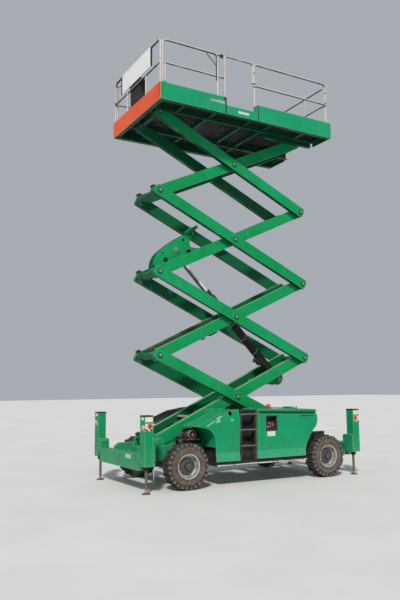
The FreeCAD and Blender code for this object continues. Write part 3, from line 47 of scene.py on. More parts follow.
# Driving sizes, in metres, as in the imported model; the rest comes from the frame's boxes
STAGES = 4
ARM_LENGTH = 3.84
STAGE_RISE = 1.617
PIVOT_X = -1.835
PIVOT_Z = 0.823
ARM_HALF = 0.1075
INNER_IN = 0.285
OUTER_OUT = 0.500
ARM_ANGLE = math.asin(STAGE_RISE / ARM_LENGTH)
RIGHT_X = PIVOT_X + ARM_LENGTH * math.cos(ARM_ANGLE)
FRONT_AXLE_X = -1.581
REAR_AXLE_X = 1.652
WHEEL_R = 0.42
TYRE_OUT = 1.174
HOOD_OUT = 1.150
LOW_PIN = (ARM_LENGTH - 0.560, -0.250)
HIGH_PIN = (0.720, 0.260)
TOP_PIVOT_Z = PIVOT_Z + STAGES * STAGE_RISE
DECK_Z = TOP_PIVOT_Z + 0.117
FOOT_Z = DECK_Z + 0.008
ROLL_FOOT_Z = DECK_Z + 0.024
RAIL_MID_Z = DECK_Z + 0.592
RAIL_TOP_Z = DECK_Z + 1.081
PANEL_HALF = 1.149
RAIL_Y = 1.1135
ROLL_RAIL_Y = 1.100
END_RAIL_X = -2.118

# Colours, linear
GREEN = (0.001, 0.222, 0.078)
GREEN_PALE = (0.008, 0.280, 0.125)
GREEN_DARK = (0.001, 0.105, 0.040)
GREEN_SHADE = (0.002, 0.050, 0.024)
GREEN_UNDER_SHADOW = (0.001, 0.018, 0.010)
STACK_GREEN = (0.001, 0.226, 0.062)
STACK_PALE = (0.006, 0.282, 0.100)
PANEL_BASE = (0.004, 0.252, 0.100)
PANEL_PALE = (0.014, 0.305, 0.145)
PANEL_SHADE = (0.004, 0.016, 0.010)
FLARE_HIGHLIGHT = (0.022, 0.330, 0.165)
GREEN_DUST_LIT = (0.270, 0.400, 0.210)
ORANGE = (0.640, 0.060, 0.014)
ORANGE_PALE = (0.700, 0.115, 0.042)
OFF_WHITE = (0.430, 0.418, 0.385)
OFF_WHITE_DARK = (0.230, 0.200, 0.160)
BLACK = (0.012, 0.012, 0.013)
BLACK_WORN = (0.028, 0.027, 0.026)
PRIMER = (0.430, 0.470, 0.380)
RUST = (0.120, 0.048, 0.020)
DUST = (0.200, 0.165, 0.115)
STEEL = (0.420, 0.400, 0.370)
SILVER = (0.520, 0.520, 0.500)
CREAM = (0.560, 0.530, 0.380)
LINE_BROWN = (0.085, 0.060, 0.045)
RED = (0.500, 0.030, 0.020)


# Node helpers
NOISE_ROUGHNESS = 0.55
BUMP_DEPTH = 0.002


class Nodes:
    """One material, with short names for the nodes that its look is built from."""

    def __init__(self, name):
        self.mat = bpy.data.materials.new(name)
        self.mat.use_nodes = True
        self.tree = self.mat.node_tree
        self.shader = self.tree.nodes["Principled BSDF"]
        self.coords = self.tree.nodes.new("ShaderNodeTexCoord").outputs["Object"]

    def add(self, kind, **values):
        node = self.tree.nodes.new(kind)
        for key, value in values.items():
            setattr(node, key, value)
        return node

    def link(self, source, target):
        self.tree.links.new(source, target)

    def feed(self, socket, value):
        # Gives a socket a colour, a number or what another node puts out
        if isinstance(value, tuple):
            socket.default_value = (*value, 1.0)
        elif isinstance(value, (int, float)):
            socket.default_value = value
        else:
            self.link(value, socket)

    def noise(self, scale, detail=4.0, stretch=(1.0, 1.0, 1.0)):
        mapping = self.add("ShaderNodeMapping")
        mapping.inputs["Scale"].default_value = stretch
        self.link(self.coords, mapping.inputs["Vector"])
        node = self.add("ShaderNodeTexNoise")
        node.inputs["Scale"].default_value = scale
        node.inputs["Detail"].default_value = detail
        node.inputs["Roughness"].default_value = NOISE_ROUGHNESS
        self.link(mapping.outputs["Vector"], node.inputs["Vector"])
        return node.outputs["Fac"]

    def ramp(self, source, low, high):
        node = self.add("ShaderNodeMapRange", clamp=True)
        node.inputs["From Min"].default_value = low
        node.inputs["From Max"].default_value = high
        self.link(source, node.inputs["Value"])
        return node.outputs["Result"]

    def math(self, operation, a, b=0.0):
        node = self.add("ShaderNodeMath", operation=operation)
        self.feed(node.inputs[0], a)
        self.feed(node.inputs[1], b)
        return node.outputs["Value"]

    def times(self, a, b):
        return self.math("MULTIPLY", a, b)

    def plus(self, a, b):
        return self.math("ADD", a, b)

    def minus(self, a, b):
        return self.math("SUBTRACT", a, b)

    def invert(self, a):
        return self.minus(1.0, a)

    def fall(self, source, low, high):
        # 1 under the low value, 0 over the high one
        return self.invert(self.ramp(source, low, high))

    def uneven(self, level, share, *noise):
        # A value raised by a share of noise
        return self.plus(self.times(self.noise(*noise), share), level)

    def absolute(self, a):
        return self.math("ABSOLUTE", a)

    def patches(self, low, high, *noise):
        # Noise cut to soft patches between two levels
        return self.ramp(self.noise(*noise), low, high)

    def cover(self, colour, mask, share, top):
        # A share of the top colour where the mask is 1
        return self.mix(self.times(mask, share), colour, top)

    def mix(self, factor, a, b):
        node = self.add("ShaderNodeMix", data_type="RGBA")
        for socket, value in ((0, factor), (6, a), (7, b)):
            self.feed(node.inputs[socket], value)
        return node.outputs[2]

    def axis(self, index):
        node = self.add("ShaderNodeSeparateXYZ")
        self.link(self.coords, node.inputs[0])
        return node.outputs[index]

    def facing(self, index):
        # The surface normal's share along one axis
        node = self.add("ShaderNodeSeparateXYZ")
        self.link(self.add("ShaderNodeNewGeometry").outputs["Normal"], node.inputs[0])
        return node.outputs[index]

    def edges(self, radius):
        # 0 on flat stretches and 1 at outer edges
        bevel = self.add("ShaderNodeBevel", samples=4)
        bevel.inputs["Radius"].default_value = radius
        normal = self.add("ShaderNodeNewGeometry").outputs["Normal"]
        dot = self.add("ShaderNodeVectorMath", operation="DOT_PRODUCT")
        self.link(bevel.outputs["Normal"], dot.inputs[0])
        self.link(normal, dot.inputs[1])
        return self.invert(dot.outputs["Value"])

    def streak(self, start, end, half):
        # 1 along a line on a side face, fading to 0 beyond half its width, with ragged edges
        run = Vector(end) - Vector(start)
        along = run.normalized()
        dx = self.minus(self.axis(0), start[0])
        dz = self.minus(self.axis(2), start[1])
        u = self.plus(self.times(dx, along.x), self.times(dz, along.y))
        v = self.minus(self.times(dz, along.x), self.times(dx, along.y))
        away = self.uneven(self.absolute(v), half, 22.0, 6.0)
        across = self.fall(away, half, half * 1.5)
        return self.times(self.band(u, 0.0, run.length, 0.03), across)

    def band(self, source, low, high, soft=0.004):
        # 1 between two values, 0 outside
        return self.times(self.ramp(source, low, low + soft),
                         self.fall(source, high - soft, high))

    def wheel_distance(self):
        # Distance from the nearer axle's line
        x = self.axis(0)
        front = self.absolute(self.minus(x, FRONT_AXLE_X))
        rear = self.absolute(self.minus(x, REAR_AXLE_X))
        near = self.math("MINIMUM", front, rear)
        up = self.minus(self.axis(2), WHEEL_R)
        square = self.plus(self.times(near, near), self.times(up, up))
        return self.math("SQRT", square)

    def bump(self, height, strength):
        node = self.add("ShaderNodeBump")
        node.inputs["Strength"].default_value = strength
        node.inputs["Distance"].default_value = BUMP_DEPTH
        self.link(height, node.inputs["Height"])
        self.link(node.outputs["Normal"], self.shader.inputs["Normal"])

    def finish(self, colour, roughness, metallic=0.0):
        for name, value in (("Base Color", colour), ("Roughness", roughness), ("Metallic", metallic)):
            self.feed(self.shader.inputs[name], value)
        return self.mat


def paint(name, base, pale, dark, chip, wear=1.0, dirt=1.0, gloss=0.42, dirt_colour=DUST, under=0.0,
          marks=(), inside=0.0, top=0.0, flare=0.0, black_below=0.0, under_colour=GREEN_SHADE,
          hollow=0.0, black_top=0.0):
    # Sun-faded paint with fine dirt, runs, mud near the ground, and chips where edges stand out; options add
    # painted shade (inward, downward and hidden faces, a far hood's top) and painted light (upward faces, a
    # hood's flare)
    n = Nodes(name)
    n.shader.inputs["Specular IOR Level"].default_value = 0.14
    fade = n.patches(0.35, 0.68, 0.9, 3.0)
    colour = n.mix(fade, base, pale)
    if flare:
        # Paler green below the flare line: painted light on the hood's up-tilted flare
        low = n.fall(n.axis(2), flare - 0.008, flare + 0.008)
        colour = n.cover(colour, low, 0.75, FLARE_HIGHLIGHT)
    blotch = n.patches(0.54, 0.74, 7.0, 5.0)
    colour = n.cover(colour, blotch, 0.35, dark)
    runs = n.patches(0.60, 0.80, 9.0, 4.0, (1.0, 1.0, 0.10))
    colour = n.cover(colour, runs, 0.22 * dirt, dirt_colour)
    speck = n.patches(0.64, 0.74, 70.0, 3.0)
    colour = n.cover(colour, speck, 0.4 * dirt, dirt_colour)
    low = n.fall(n.axis(2), 0.30, 0.80)
    mud = n.times(low, n.patches(0.40, 0.64, 14.0, 6.0))
    colour = n.cover(colour, mud, 0.45, DUST)
    if inside:
        # Faces turned to the machine's middle are darkened: painted shade, as they lie in each other's shade
        inward = n.times(n.facing(1), n.math("SIGN", n.axis(1)))
        turned = n.ramp(n.times(inward, -1.0), 0.5, 0.9)
        colour = n.cover(colour, turned, inside, GREEN_SHADE)
    if top:
        # Pale green patches on upward faces: partly dust, partly painted light on faces that look up
        lit_dust = n.times(n.ramp(n.facing(2), 0.55, 0.75), n.patches(0.25, 0.55, 5.0, 5.0))
        colour = n.cover(colour, lit_dust, top, GREEN_DUST_LIT)
    if under:
        # Downward faces darkened in patches: painted shade
        below = n.ramp(n.times(n.facing(2), -1.0), 0.05, 0.45)
        below = n.times(below, n.patches(0.20, 0.45, 3.0, 5.0))
        colour = n.cover(colour, below, under, under_colour)
    if hollow:
        # Everything nearer to the middle than this lies in the shade under the deck
        within = n.fall(n.absolute(n.axis(1)), hollow - 0.002, hollow + 0.002)
        within = n.times(within, n.fall(n.facing(0), 0.4, 0.6))
        within = n.times(within, n.fall(n.axis(2), FOOT_Z, FOOT_Z + 0.01))
        colour = n.cover(colour, within, 0.92, GREEN_SHADE)
    if black_top:
        # Upward faces turned near black: painted shade
        rising = n.ramp(n.facing(2), 0.15, 0.30)
        colour = n.cover(colour, rising, black_top, BLACK)
    edge = n.ramp(n.uneven(n.edges(0.010), 0.16, 24.0, 5.0), 0.11, 0.22)
    colour = n.cover(colour, edge, 0.75 * wear, chip)
    for start, end, half in marks:
        scuff = n.times(n.streak(start, end, half), n.patches(0.42, 0.60, 34.0, 6.0, (0.6, 1.0, 0.8)))
        colour = n.cover(colour, scuff, 0.70, (0.50, 0.62, 0.52))
    if black_below:
        low = n.fall(n.axis(2), black_below - 0.002, black_below + 0.002)
        colour = n.mix(low, colour, BLACK_WORN)
    rough = n.plus(n.times(blotch, 0.25), gloss)
    n.bump(n.noise(180.0, 3.0), 0.12)
    return n.finish(colour, rough)


def green(name, base=GREEN, pale=GREEN_PALE, **options):
    # The machine's own paint, worn down to its primer
    return paint(name, base, pale, GREEN_DARK, PRIMER, **options)


def dark_paint(name, base, worn, wear=1.0):
    n = Nodes(name)
    n.shader.inputs["Specular IOR Level"].default_value = 0.25
    colour = n.mix(n.patches(0.45, 0.7, 5.0, 5.0), base, worn)
    colour = n.cover(colour, n.patches(0.58, 0.7, 60.0), 0.18, DUST)
    edge = n.ramp(n.uneven(n.edges(0.006), 0.14, 30.0, 5.0), 0.11, 0.2)
    colour = n.cover(colour, edge, 0.7 * wear, STEEL)
    n.bump(n.noise(160.0), 0.15)
    return n.finish(colour, n.uneven(0.45, 0.25, 20.0))


def metal(name, base, worn, roughness=0.35, metallic=0.9, scale=30.0):
    n = Nodes(name)
    colour = n.mix(n.patches(0.5, 0.72, scale, 5.0), base, worn)
    n.bump(n.noise(scale * 6), 0.1)
    return n.finish(colour, n.uneven(roughness, 0.25, scale), metallic)


def chrome(name):
    # Bright rod whose underside mirrors the dark ground
    n = Nodes(name)
    colour = n.mix(n.patches(0.5, 0.72, 6.0), (0.88, 0.89, 0.91), (0.74, 0.74, 0.74))
    below = n.ramp(n.times(n.facing(2), -1.0), -0.10, 0.25)
    colour = n.cover(colour, below, 0.93, (0.020, 0.020, 0.025))
    return n.finish(colour, 0.30, 0.12)


def bare_steel(name):
    # Grey steel of pins, shafts and legs, rusty and dirty near the ground
    n = Nodes(name)
    colour = n.mix(n.patches(0.5, 0.72, 22.0, 5.0), STEEL, (0.20, 0.16, 0.12))
    low = n.fall(n.axis(2), 0.03, 0.12)
    rusty = n.math("MAXIMUM", low, n.patches(0.62, 0.75, 9.0, 6.0))
    colour = n.cover(colour, rusty, 0.85, RUST)
    n.bump(n.noise(130.0), 0.12)
    rough = n.plus(n.times(rusty, 0.3), 0.42)
    return n.finish(colour, rough, n.minus(0.8, n.times(rusty, 0.7)))


def leg_finish(name):
    # Grey tube over a scraped, pale foot with a rusty sole
    n = Nodes(name)
    colour = n.mix(n.patches(0.5, 0.72, 24.0, 5.0), (0.120, 0.120, 0.108), (0.070, 0.055, 0.042))
    scraped = n.fall(n.axis(2), 0.058, 0.080)
    colour = n.cover(colour, scraped, 0.75, (0.340, 0.300, 0.225))
    rusty = n.fall(n.axis(2), 0.022, 0.036)
    colour = n.cover(colour, rusty, 0.85, RUST)
    n.bump(n.noise(120.0), 0.12)
    return n.finish(colour, 0.55, 0.3)


def rim_finish(name):
    # Black middle, silver outside, with brown dust in the well
    n = Nodes(name)
    away = n.wheel_distance()
    colour = n.mix(n.patches(0.5, 0.72, 14.0, 5.0), SILVER, (0.20, 0.17, 0.13))
    middle = n.fall(n.uneven(away, 0.01, 25.0), 0.160, 0.170)
    colour = n.cover(colour, middle, 0.93, BLACK_WORN)
    dusty = n.times(n.ramp(away, 0.186, 0.200), n.fall(away, 0.200, 0.210))
    dusty = n.times(dusty, n.patches(0.35, 0.6, 18.0, 5.0))
    colour = n.cover(colour, dusty, 0.35, DUST)
    n.bump(n.noise(90.0), 0.12)
    rough = n.uneven(0.32, 0.25, 14.0)
    return n.finish(colour, rough, n.minus(0.65, n.times(middle, 0.5)))


def rubber(name, base, dust):
    n = Nodes(name)
    colour = n.mix(n.patches(0.4, 0.7, 6.0, 6.0), base, dust)
    colour = n.cover(colour, n.patches(0.5, 0.65, 45.0, 4.0), 0.5, BLACK_WORN)
    n.bump(n.noise(90.0, 5.0), 0.35)
    return n.finish(colour, 0.85)


def tyre_rubber(name):
    # Dusty brown-grey side walls, darker tread with dry mud on the lugs' faces
    n = Nodes(name)
    away = n.wheel_distance()
    base = n.mix(n.patches(0.40, 0.72, 7.0, 6.0), (0.018, 0.017, 0.018), (0.050, 0.043, 0.038))
    wall = n.times(n.fall(away, 0.315, 0.365), n.patches(0.25, 0.6, 10.0, 5.0))
    colour = n.mix(n.times(wall, 0.85), base, (0.165, 0.138, 0.105))
    brown = n.times(n.band(away, 0.272, 0.334, 0.012), n.patches(0.35, 0.6, 8.0, 5.0))
    colour = n.cover(colour, brown, 0.6, (0.125, 0.085, 0.052))
    for low, high, share in ((0.228, 0.246, 0.75), (0.262, 0.270, 0.55), (0.334, 0.350, 0.80)):
        colour = n.cover(colour, n.band(away, low, high), share, (0.026, 0.023, 0.021))
    mottled = n.times(wall, n.patches(0.46, 0.62, 26.0, 6.0))
    colour = n.cover(colour, mottled, 0.65, (0.050, 0.046, 0.042))
    crumbs = n.times(wall, n.patches(0.64, 0.70, 38.0, 3.0))
    colour = n.cover(colour, crumbs, 0.55, (0.300, 0.280, 0.240))
    tread = n.times(n.ramp(away, 0.405, 0.419), n.patches(0.45, 0.65, 16.0, 5.0))
    colour = n.cover(colour, tread, 0.20, (0.120, 0.102, 0.080))
    ribs = n.math("SINE", n.times(away, 520.0))
    ribbed = n.times(ribs, n.fall(away, 0.345, 0.355))
    n.bump(n.plus(n.noise(90.0, 5.0), n.times(ribbed, 0.25)), 0.45)
    return n.finish(colour, 0.85)


def hazard(name):
    # Slanted black and pale stripes, rubbed and dirty
    n = Nodes(name)
    slant = n.plus(n.plus(n.axis(0), n.axis(1)), n.axis(2))
    stripe = n.ramp(n.math("SINE", n.times(slant, 72.0)), -0.15, 0.15)
    colour = n.mix(stripe, BLACK, (0.60, 0.56, 0.30))
    colour = n.cover(colour, n.patches(0.55, 0.70, 30.0, 5.0), 0.4, DUST)
    return n.finish(colour, 0.6)


MATERIALS = {
    "green_paint": green("green_paint"),
    "orange_paint": paint("orange_paint", ORANGE, ORANGE_PALE, (0.4, 0.06, 0.02), PRIMER),
    "rail_paint": paint("rail_paint", OFF_WHITE, (0.54, 0.53, 0.50), OFF_WHITE_DARK, RUST, wear=0.8,
                        dirt=1.6, gloss=0.5, dirt_colour=RUST, under=0.92, under_colour=(0.030, 0.024, 0.018)),
    "black_paint": dark_paint("black_paint", BLACK, BLACK_WORN),
    "sign_plate": paint("sign_plate", (0.70, 0.71, 0.70), (0.78, 0.78, 0.77), (0.45, 0.44, 0.4),
                        (0.3, 0.3, 0.3), wear=0.3, dirt=0.5, gloss=0.45),
    "bare_steel": bare_steel("bare_steel"),
    "chrome_rod": chrome("chrome_rod"),
    "rim_paint": rim_finish("rim_paint"),
    "tyre": tyre_rubber("tyre"),
    "beacon_lens": metal("beacon_lens", (0.62, 0.075, 0.015), (0.45, 0.05, 0.010), 0.22, 0.0, 8.0),
    "plastic_box": dark_paint("plastic_box", (0.015, 0.015, 0.016), (0.035, 0.034, 0.033), wear=0.3),
}
HOOD_GREEN = green("hood_green", wear=0.6, flare=0.615)
HOOD_SCUFFED = green("hood_scuffed", wear=0.6, flare=0.615,
                     marks=(((-1.20, 1.115), (-0.84, 1.300), 0.022), ((-1.02, 1.160), (-0.90, 1.215), 0.030),
                            ((-0.68, 1.195), (-0.60, 1.235), 0.026)))
# The far front hood's upward faces go near black: painted shade on its top
HOOD_FAR = green("hood_far", wear=0.6, flare=0.615, black_top=0.98, gloss=0.75)
SHAFT_GREEN = paint("shaft_green", (0.001, 0.075, 0.030), GREEN_DARK, GREEN_SHADE, PRIMER, wear=0.15)
TRAY_GREEN = green("tray_green", wear=0.5, black_below=0.462)
PANEL_GREEN = green("panel_green", PANEL_BASE, PANEL_PALE, wear=0.7, under=0.95,
                    under_colour=PANEL_SHADE, hollow=1.110)
ROLLOUT_GREEN = green("rollout_green", PANEL_BASE, PANEL_PALE, wear=0.7, under=0.95,
                      under_colour=PANEL_SHADE, hollow=1.125)
LEG_STEEL = leg_finish("leg_steel")
# Stack arms: painted shade on inward and downward faces; their pale upward faces are dust and painted light
ARM_GREEN = green("arm_green", STACK_GREEN, STACK_PALE, wear=0.30, inside=0.72, top=0.60, under=0.85)
OUTER_GREEN = green("outer_arm_green", STACK_GREEN, STACK_PALE, wear=0.12, inside=0.72, top=0.15,
                    under=0.92, under_colour=GREEN_UNDER_SHADOW)
TOWER_GREEN = green("tower_green", wear=1.5, black_below=0.4695)
SHADED_GREEN = paint("shaded_green", (0.002, 0.070, 0.032), GREEN_SHADE, (0.002, 0.018, 0.010), DUST,
                     wear=0.25)
SHOULDER = rubber("shoulder_rubber", (0.095, 0.080, 0.062), (0.165, 0.140, 0.108))
HOSE = rubber("hose_rubber", (0.014, 0.014, 0.014), (0.050, 0.045, 0.040))
LINES = rubber("line_rubber", LINE_BROWN, (0.140, 0.110, 0.090))
BOLT = metal("bolt_steel", (0.33, 0.32, 0.29), (0.16, 0.12, 0.09), 0.45, 0.7, 60.0)
PLATE = paint("blank_plate", (0.50, 0.52, 0.50), (0.58, 0.59, 0.57), (0.42, 0.40, 0.34), (0.35, 0.33, 0.30),
              wear=0.4, dirt=1.0, gloss=0.5)
CREAM_PLATE = paint("cream_plate", CREAM, (0.68, 0.63, 0.50), (0.30, 0.24, 0.17), (0.30, 0.27, 0.22),
                    wear=0.5, dirt=2.4, gloss=0.5)
MINT_PLATE = paint("mint_plate", (0.30, 0.52, 0.42), (0.42, 0.58, 0.50), (0.10, 0.30, 0.18),
                   (0.30, 0.33, 0.28), wear=0.5)
GREY_PLATE = paint("grey_plate", (0.24, 0.26, 0.24), (0.36, 0.38, 0.36), (0.08, 0.09, 0.08),
                   (0.20, 0.20, 0.18), wear=0.6, dirt=2.0, gloss=0.5)
REFLECTOR = metal("reflector", RED, (0.30, 0.02, 0.015), 0.2, 0.0, 90.0)
HAZARD = hazard("hazard_stripes")
# Near-black blue sheet: painted shade under the deck
UNDERDECK_SHADE = metal("underdeck_sheet", (0.010, 0.015, 0.018), (0.060, 0.078, 0.092), 0.7, 0.2, 3.0)
RUSTY = rubber("old_rust", (0.030, 0.016, 0.010), RUST)
TREAD = metal("deck_tread", (0.20, 0.20, 0.19), (0.10, 0.09, 0.07), 0.6, 0.4, 20.0)
PIN_PAINT = metal("pin_cap", (0.30, 0.29, 0.26), (0.17, 0.15, 0.13), 0.55, 0.25, 40.0)
CHIPPED = metal("chipped_edge", (0.58, 0.57, 0.53), (0.20, 0.19, 0.17), 0.55, 0.1, 45.0)
WORN_STEEL = metal("worn_steel", (0.55, 0.53, 0.48), (0.28, 0.24, 0.19), 0.4, 0.7, 40.0)

SLOT_OF = {part["node"]: part["material_slot"] for part in frame["record"]["subparts"]}
for node_name, node_object in frame["nodes"].items():
    node_object.data.materials.clear()
    node_object.data.materials.append(MATERIALS[SLOT_OF[node_name]])
NODE_MATERIALS = {"hood_front_left": HOOD_SCUFFED, "hood_front_right": HOOD_FAR,
                  "outrigger_towers": TOWER_GREEN, "side_trays": TRAY_GREEN,
                  "chassis_tracks": MATERIALS["black_paint"], "fixed_panels": PANEL_GREEN,
                  "platform_frame": SHADED_GREEN, "platform_tracks": SHADED_GREEN,
                  "rollout_deck": ROLLOUT_GREEN, "fin_bracket": ARM_GREEN,
                  "cylinder_hanger": ARM_GREEN}
for end in ("front", "rear"):
    for side_name in ("left", "right"):
        NODE_MATERIALS["outrigger_leg_%s_%s" % (end, side_name)] = LEG_STEEL
for node_name in ("hood_rear_left", "hood_rear_right"):
    NODE_MATERIALS[node_name] = HOOD_GREEN
for stage in range(1, STAGES + 1):
    for family, finish in (("inner_arms", ARM_GREEN), ("outer_arms", OUTER_GREEN),
                           ("inner_tubes", SHAFT_GREEN), ("knuckle_shafts", SHAFT_GREEN)):
        NODE_MATERIALS["%s_%d" % (family, stage)] = finish
for node_name, node_material in NODE_MATERIALS.items():
    frame["nodes"][node_name].data.materials[0] = node_material


# Piece builder
WIRE_SIDES = 8
WASHER = 0.003
SMOOTH_UNDER = math.radians(38)
SIDES = (("left", -1), ("right", 1))
ENDS = (("front", -1), ("rear", 1))
BLACK_PART = (MATERIALS["black_paint"], "black_paint")


def around(count, radius=1.0, start=0.0):
    # Evenly spaced points on a circle; start is a share of one step
    for i in range(count):
        a = 2 * math.pi * (i + start) / count
        yield radius * math.cos(a), radius * math.sin(a)


def skin(side, face, thick, sunk=0.0):
    # The span of a thin layer on a face, on the side that the sign names
    return side * (face - sunk), side * (face + thick)


class Kit:
    """Like details on one body, gathered into one piece."""

    def __init__(self, name, body, material, slot, place=None):
        self.name = name
        self.body = body
        self.material = material
        self.slot = slot
        self.place = place or Matrix.Identity(4)
        self.mesh = bmesh.new()

    def box(self, x, y, z):
        spans = [sorted(span) for span in (x, y, z)]
        middle = Vector([(a + b) / 2 for a, b in spans])
        stretch = Matrix.Diagonal((*[b - a for a, b in spans], 1.0))
        bmesh.ops.create_cube(self.mesh, size=1.0, matrix=Matrix.Translation(middle) @ stretch)

    def bar(self, p, q, r, sides=14, end=None):
        # A round bar between two points; end is its radius at the second one
        a, b = Vector(p), Vector(q)
        turn = (b - a).to_track_quat("Z", "Y").to_matrix().to_4x4()
        bmesh.ops.create_cone(self.mesh, cap_ends=True, segments=sides, radius1=r,
                              radius2=r if end is None else end, depth=(b - a).length,
                              matrix=Matrix.Translation((a + b) / 2) @ turn)

    def stud(self, p, run, r, sides=14, end=None):
        # A round bar given by its foot and its run
        self.bar(p, Vector(p) + Vector(run), r, sides, end)

    def ring(self, centre, axis, radius, wire, sides=36):
        # A round wire bent round an axis
        turn = Vector(axis).to_track_quat("Z", "Y").to_matrix()
        rows = []
        for cos, sin in around(sides):
            row = []
            for out, rise in around(WIRE_SIDES, wire):
                spot = Vector(((radius + out) * cos, (radius + out) * sin, rise))
                row.append(self.mesh.verts.new(Vector(centre) + turn @ spot))
            rows.append(row)
        for i in range(sides):
            here, there = rows[i], rows[(i + 1) % sides]
            for j in range(WIRE_SIDES):
                k = (j + 1) % WIRE_SIDES
                self.mesh.faces.new((here[j], there[j], there[k], here[k]))

    def prism(self, outline, y):
        # An outline of (x, z) points pushed along Y
        low = [self.mesh.verts.new((p[0], y[0], p[1])) for p in outline]
        high = [self.mesh.verts.new((p[0], y[1], p[1])) for p in outline]
        self.mesh.faces.new(low)
        self.mesh.faces.new(list(reversed(high)))
        for i in range(len(outline)):
            j = (i + 1) % len(outline)
            self.mesh.faces.new((low[j], low[i], high[i], high[j]))

    def line(self, points, r):
        # A clipped pipe or hose along a smooth path
        curve = bpy.data.curves.new("path", "CURVE")
        curve.dimensions = "3D"
        curve.bevel_depth = r
        curve.bevel_resolution = 2
        curve.resolution_u = 6
        curve.use_fill_caps = True
        spline = curve.splines.new("NURBS")
        spline.points.add(len(points) - 1)
        for point, place in zip(spline.points, points):
            point.co = (*place, 1.0)
        spline.order_u = 3
        spline.use_endpoint_u = True
        holder = bpy.data.objects.new("path", curve)
        tube = bpy.data.meshes.new_from_object(holder)
        self.mesh.from_mesh(tube)
        bpy.data.objects.remove(holder)
        bpy.data.curves.remove(curve)
        bpy.data.meshes.remove(tube)

    def bolt(self, p, towards, r=0.012, tall=0.009):
        # A hexagon head on a washer
        a = Vector(p)
        step = Vector(towards).normalized()
        self.bar(a - step * 0.001, a + step * WASHER, r * 1.35, 16)
        self.bar(a, a + step * (WASHER + tall), r, 6)

    def done(self, bevel=0.0):
        self.mesh.transform(self.place)
        bmesh.ops.recalc_face_normals(self.mesh, faces=self.mesh.faces)
        if bevel:
            bmesh.ops.bevel(self.mesh, geom=self.mesh.edges[:], offset=bevel, segments=1, affect="EDGES")
        for edge in self.mesh.edges:
            edge.smooth = len(edge.link_faces) == 2 and edge.calc_face_angle(0.0) < SMOOTH_UNDER
        for face in self.mesh.faces:
            face.smooth = True
        data = bpy.data.meshes.new(self.name)
        self.mesh.to_mesh(data)
        self.mesh.free()
        data.materials.append(self.material)
        piece = bpy.data.objects.new(self.name, data)
        bpy.context.scene.collection.objects.link(piece)
        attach(piece, self.body)


def boxes(name, body, material, slot, *spans, place=None, bevel=0.0):
    # A piece of plain boxes, each given by its three spans
    kit = Kit(name, body, material, slot, place)
    for x, y, z in spans:
        kit.box(x, y, z)
    kit.done(bevel)


def leaning(x, z, cos, sin):
    # A frame turned about Y, with its own X leaning up from the point (x, z)
    return Matrix(((cos, 0, -sin, x), (0, 1, 0, 0), (sin, 0, cos, z), (0, 0, 0, 1)))


def inner_place(stage):
    # From the arm frame (X along from the left pin, Z above the arm's middle) to this pose
    return leaning(PIVOT_X, PIVOT_Z + (stage - 1) * STAGE_RISE, math.cos(ARM_ANGLE), math.sin(ARM_ANGLE))


def outer_place(stage):
    # The outer arms start at the right-hand pin; their own Z points down and to the left
    return leaning(RIGHT_X, PIVOT_Z + (stage - 1) * STAGE_RISE, -math.cos(ARM_ANGLE), math.sin(ARM_ANGLE))


# Scissor stack: keepers and caps at the pins, seals, stop pads, hydraulic lines and their clamps
KEEPER_FACE = OUTER_OUT + 0.020
CENTRE_FACE = OUTER_OUT + 0.0203
CAP_TALL = 0.006
STOP_S = (-0.066, 0.006)
STOP_Y = (0.299, 0.371)
STOP_N = (ARM_HALF - 0.004, ARM_HALF + 0.046)
BRACKET_S = ((1.06, 1.12), (1.25, 1.44))
BRACKET_N = (-ARM_HALF - 0.030, -ARM_HALF + 0.001)
LINE_R = 0.007
LINE_N = (0.078, 0.056)
LINE_INSET = 0.13
LINE_STEPS = 12
CLAMP_HALF = 0.012
FULL_STAGE = 2


def arm_lines(kit, side, end, stage):
    # Two pipes along an arm's inner face, with a slight wave
    y = side * (INNER_IN - LINE_R - 0.001)
    for n in LINE_N:
        path = [(LINE_INSET, y, n)]
        for i in range(1, LINE_STEPS):
            s = LINE_INSET + i * (end - LINE_INSET) / LINE_STEPS
            path.append((s, y, n + 0.003 * math.sin(1.7 * i + stage)))
        path.append((end, y, n))
        kit.line(path, LINE_R)


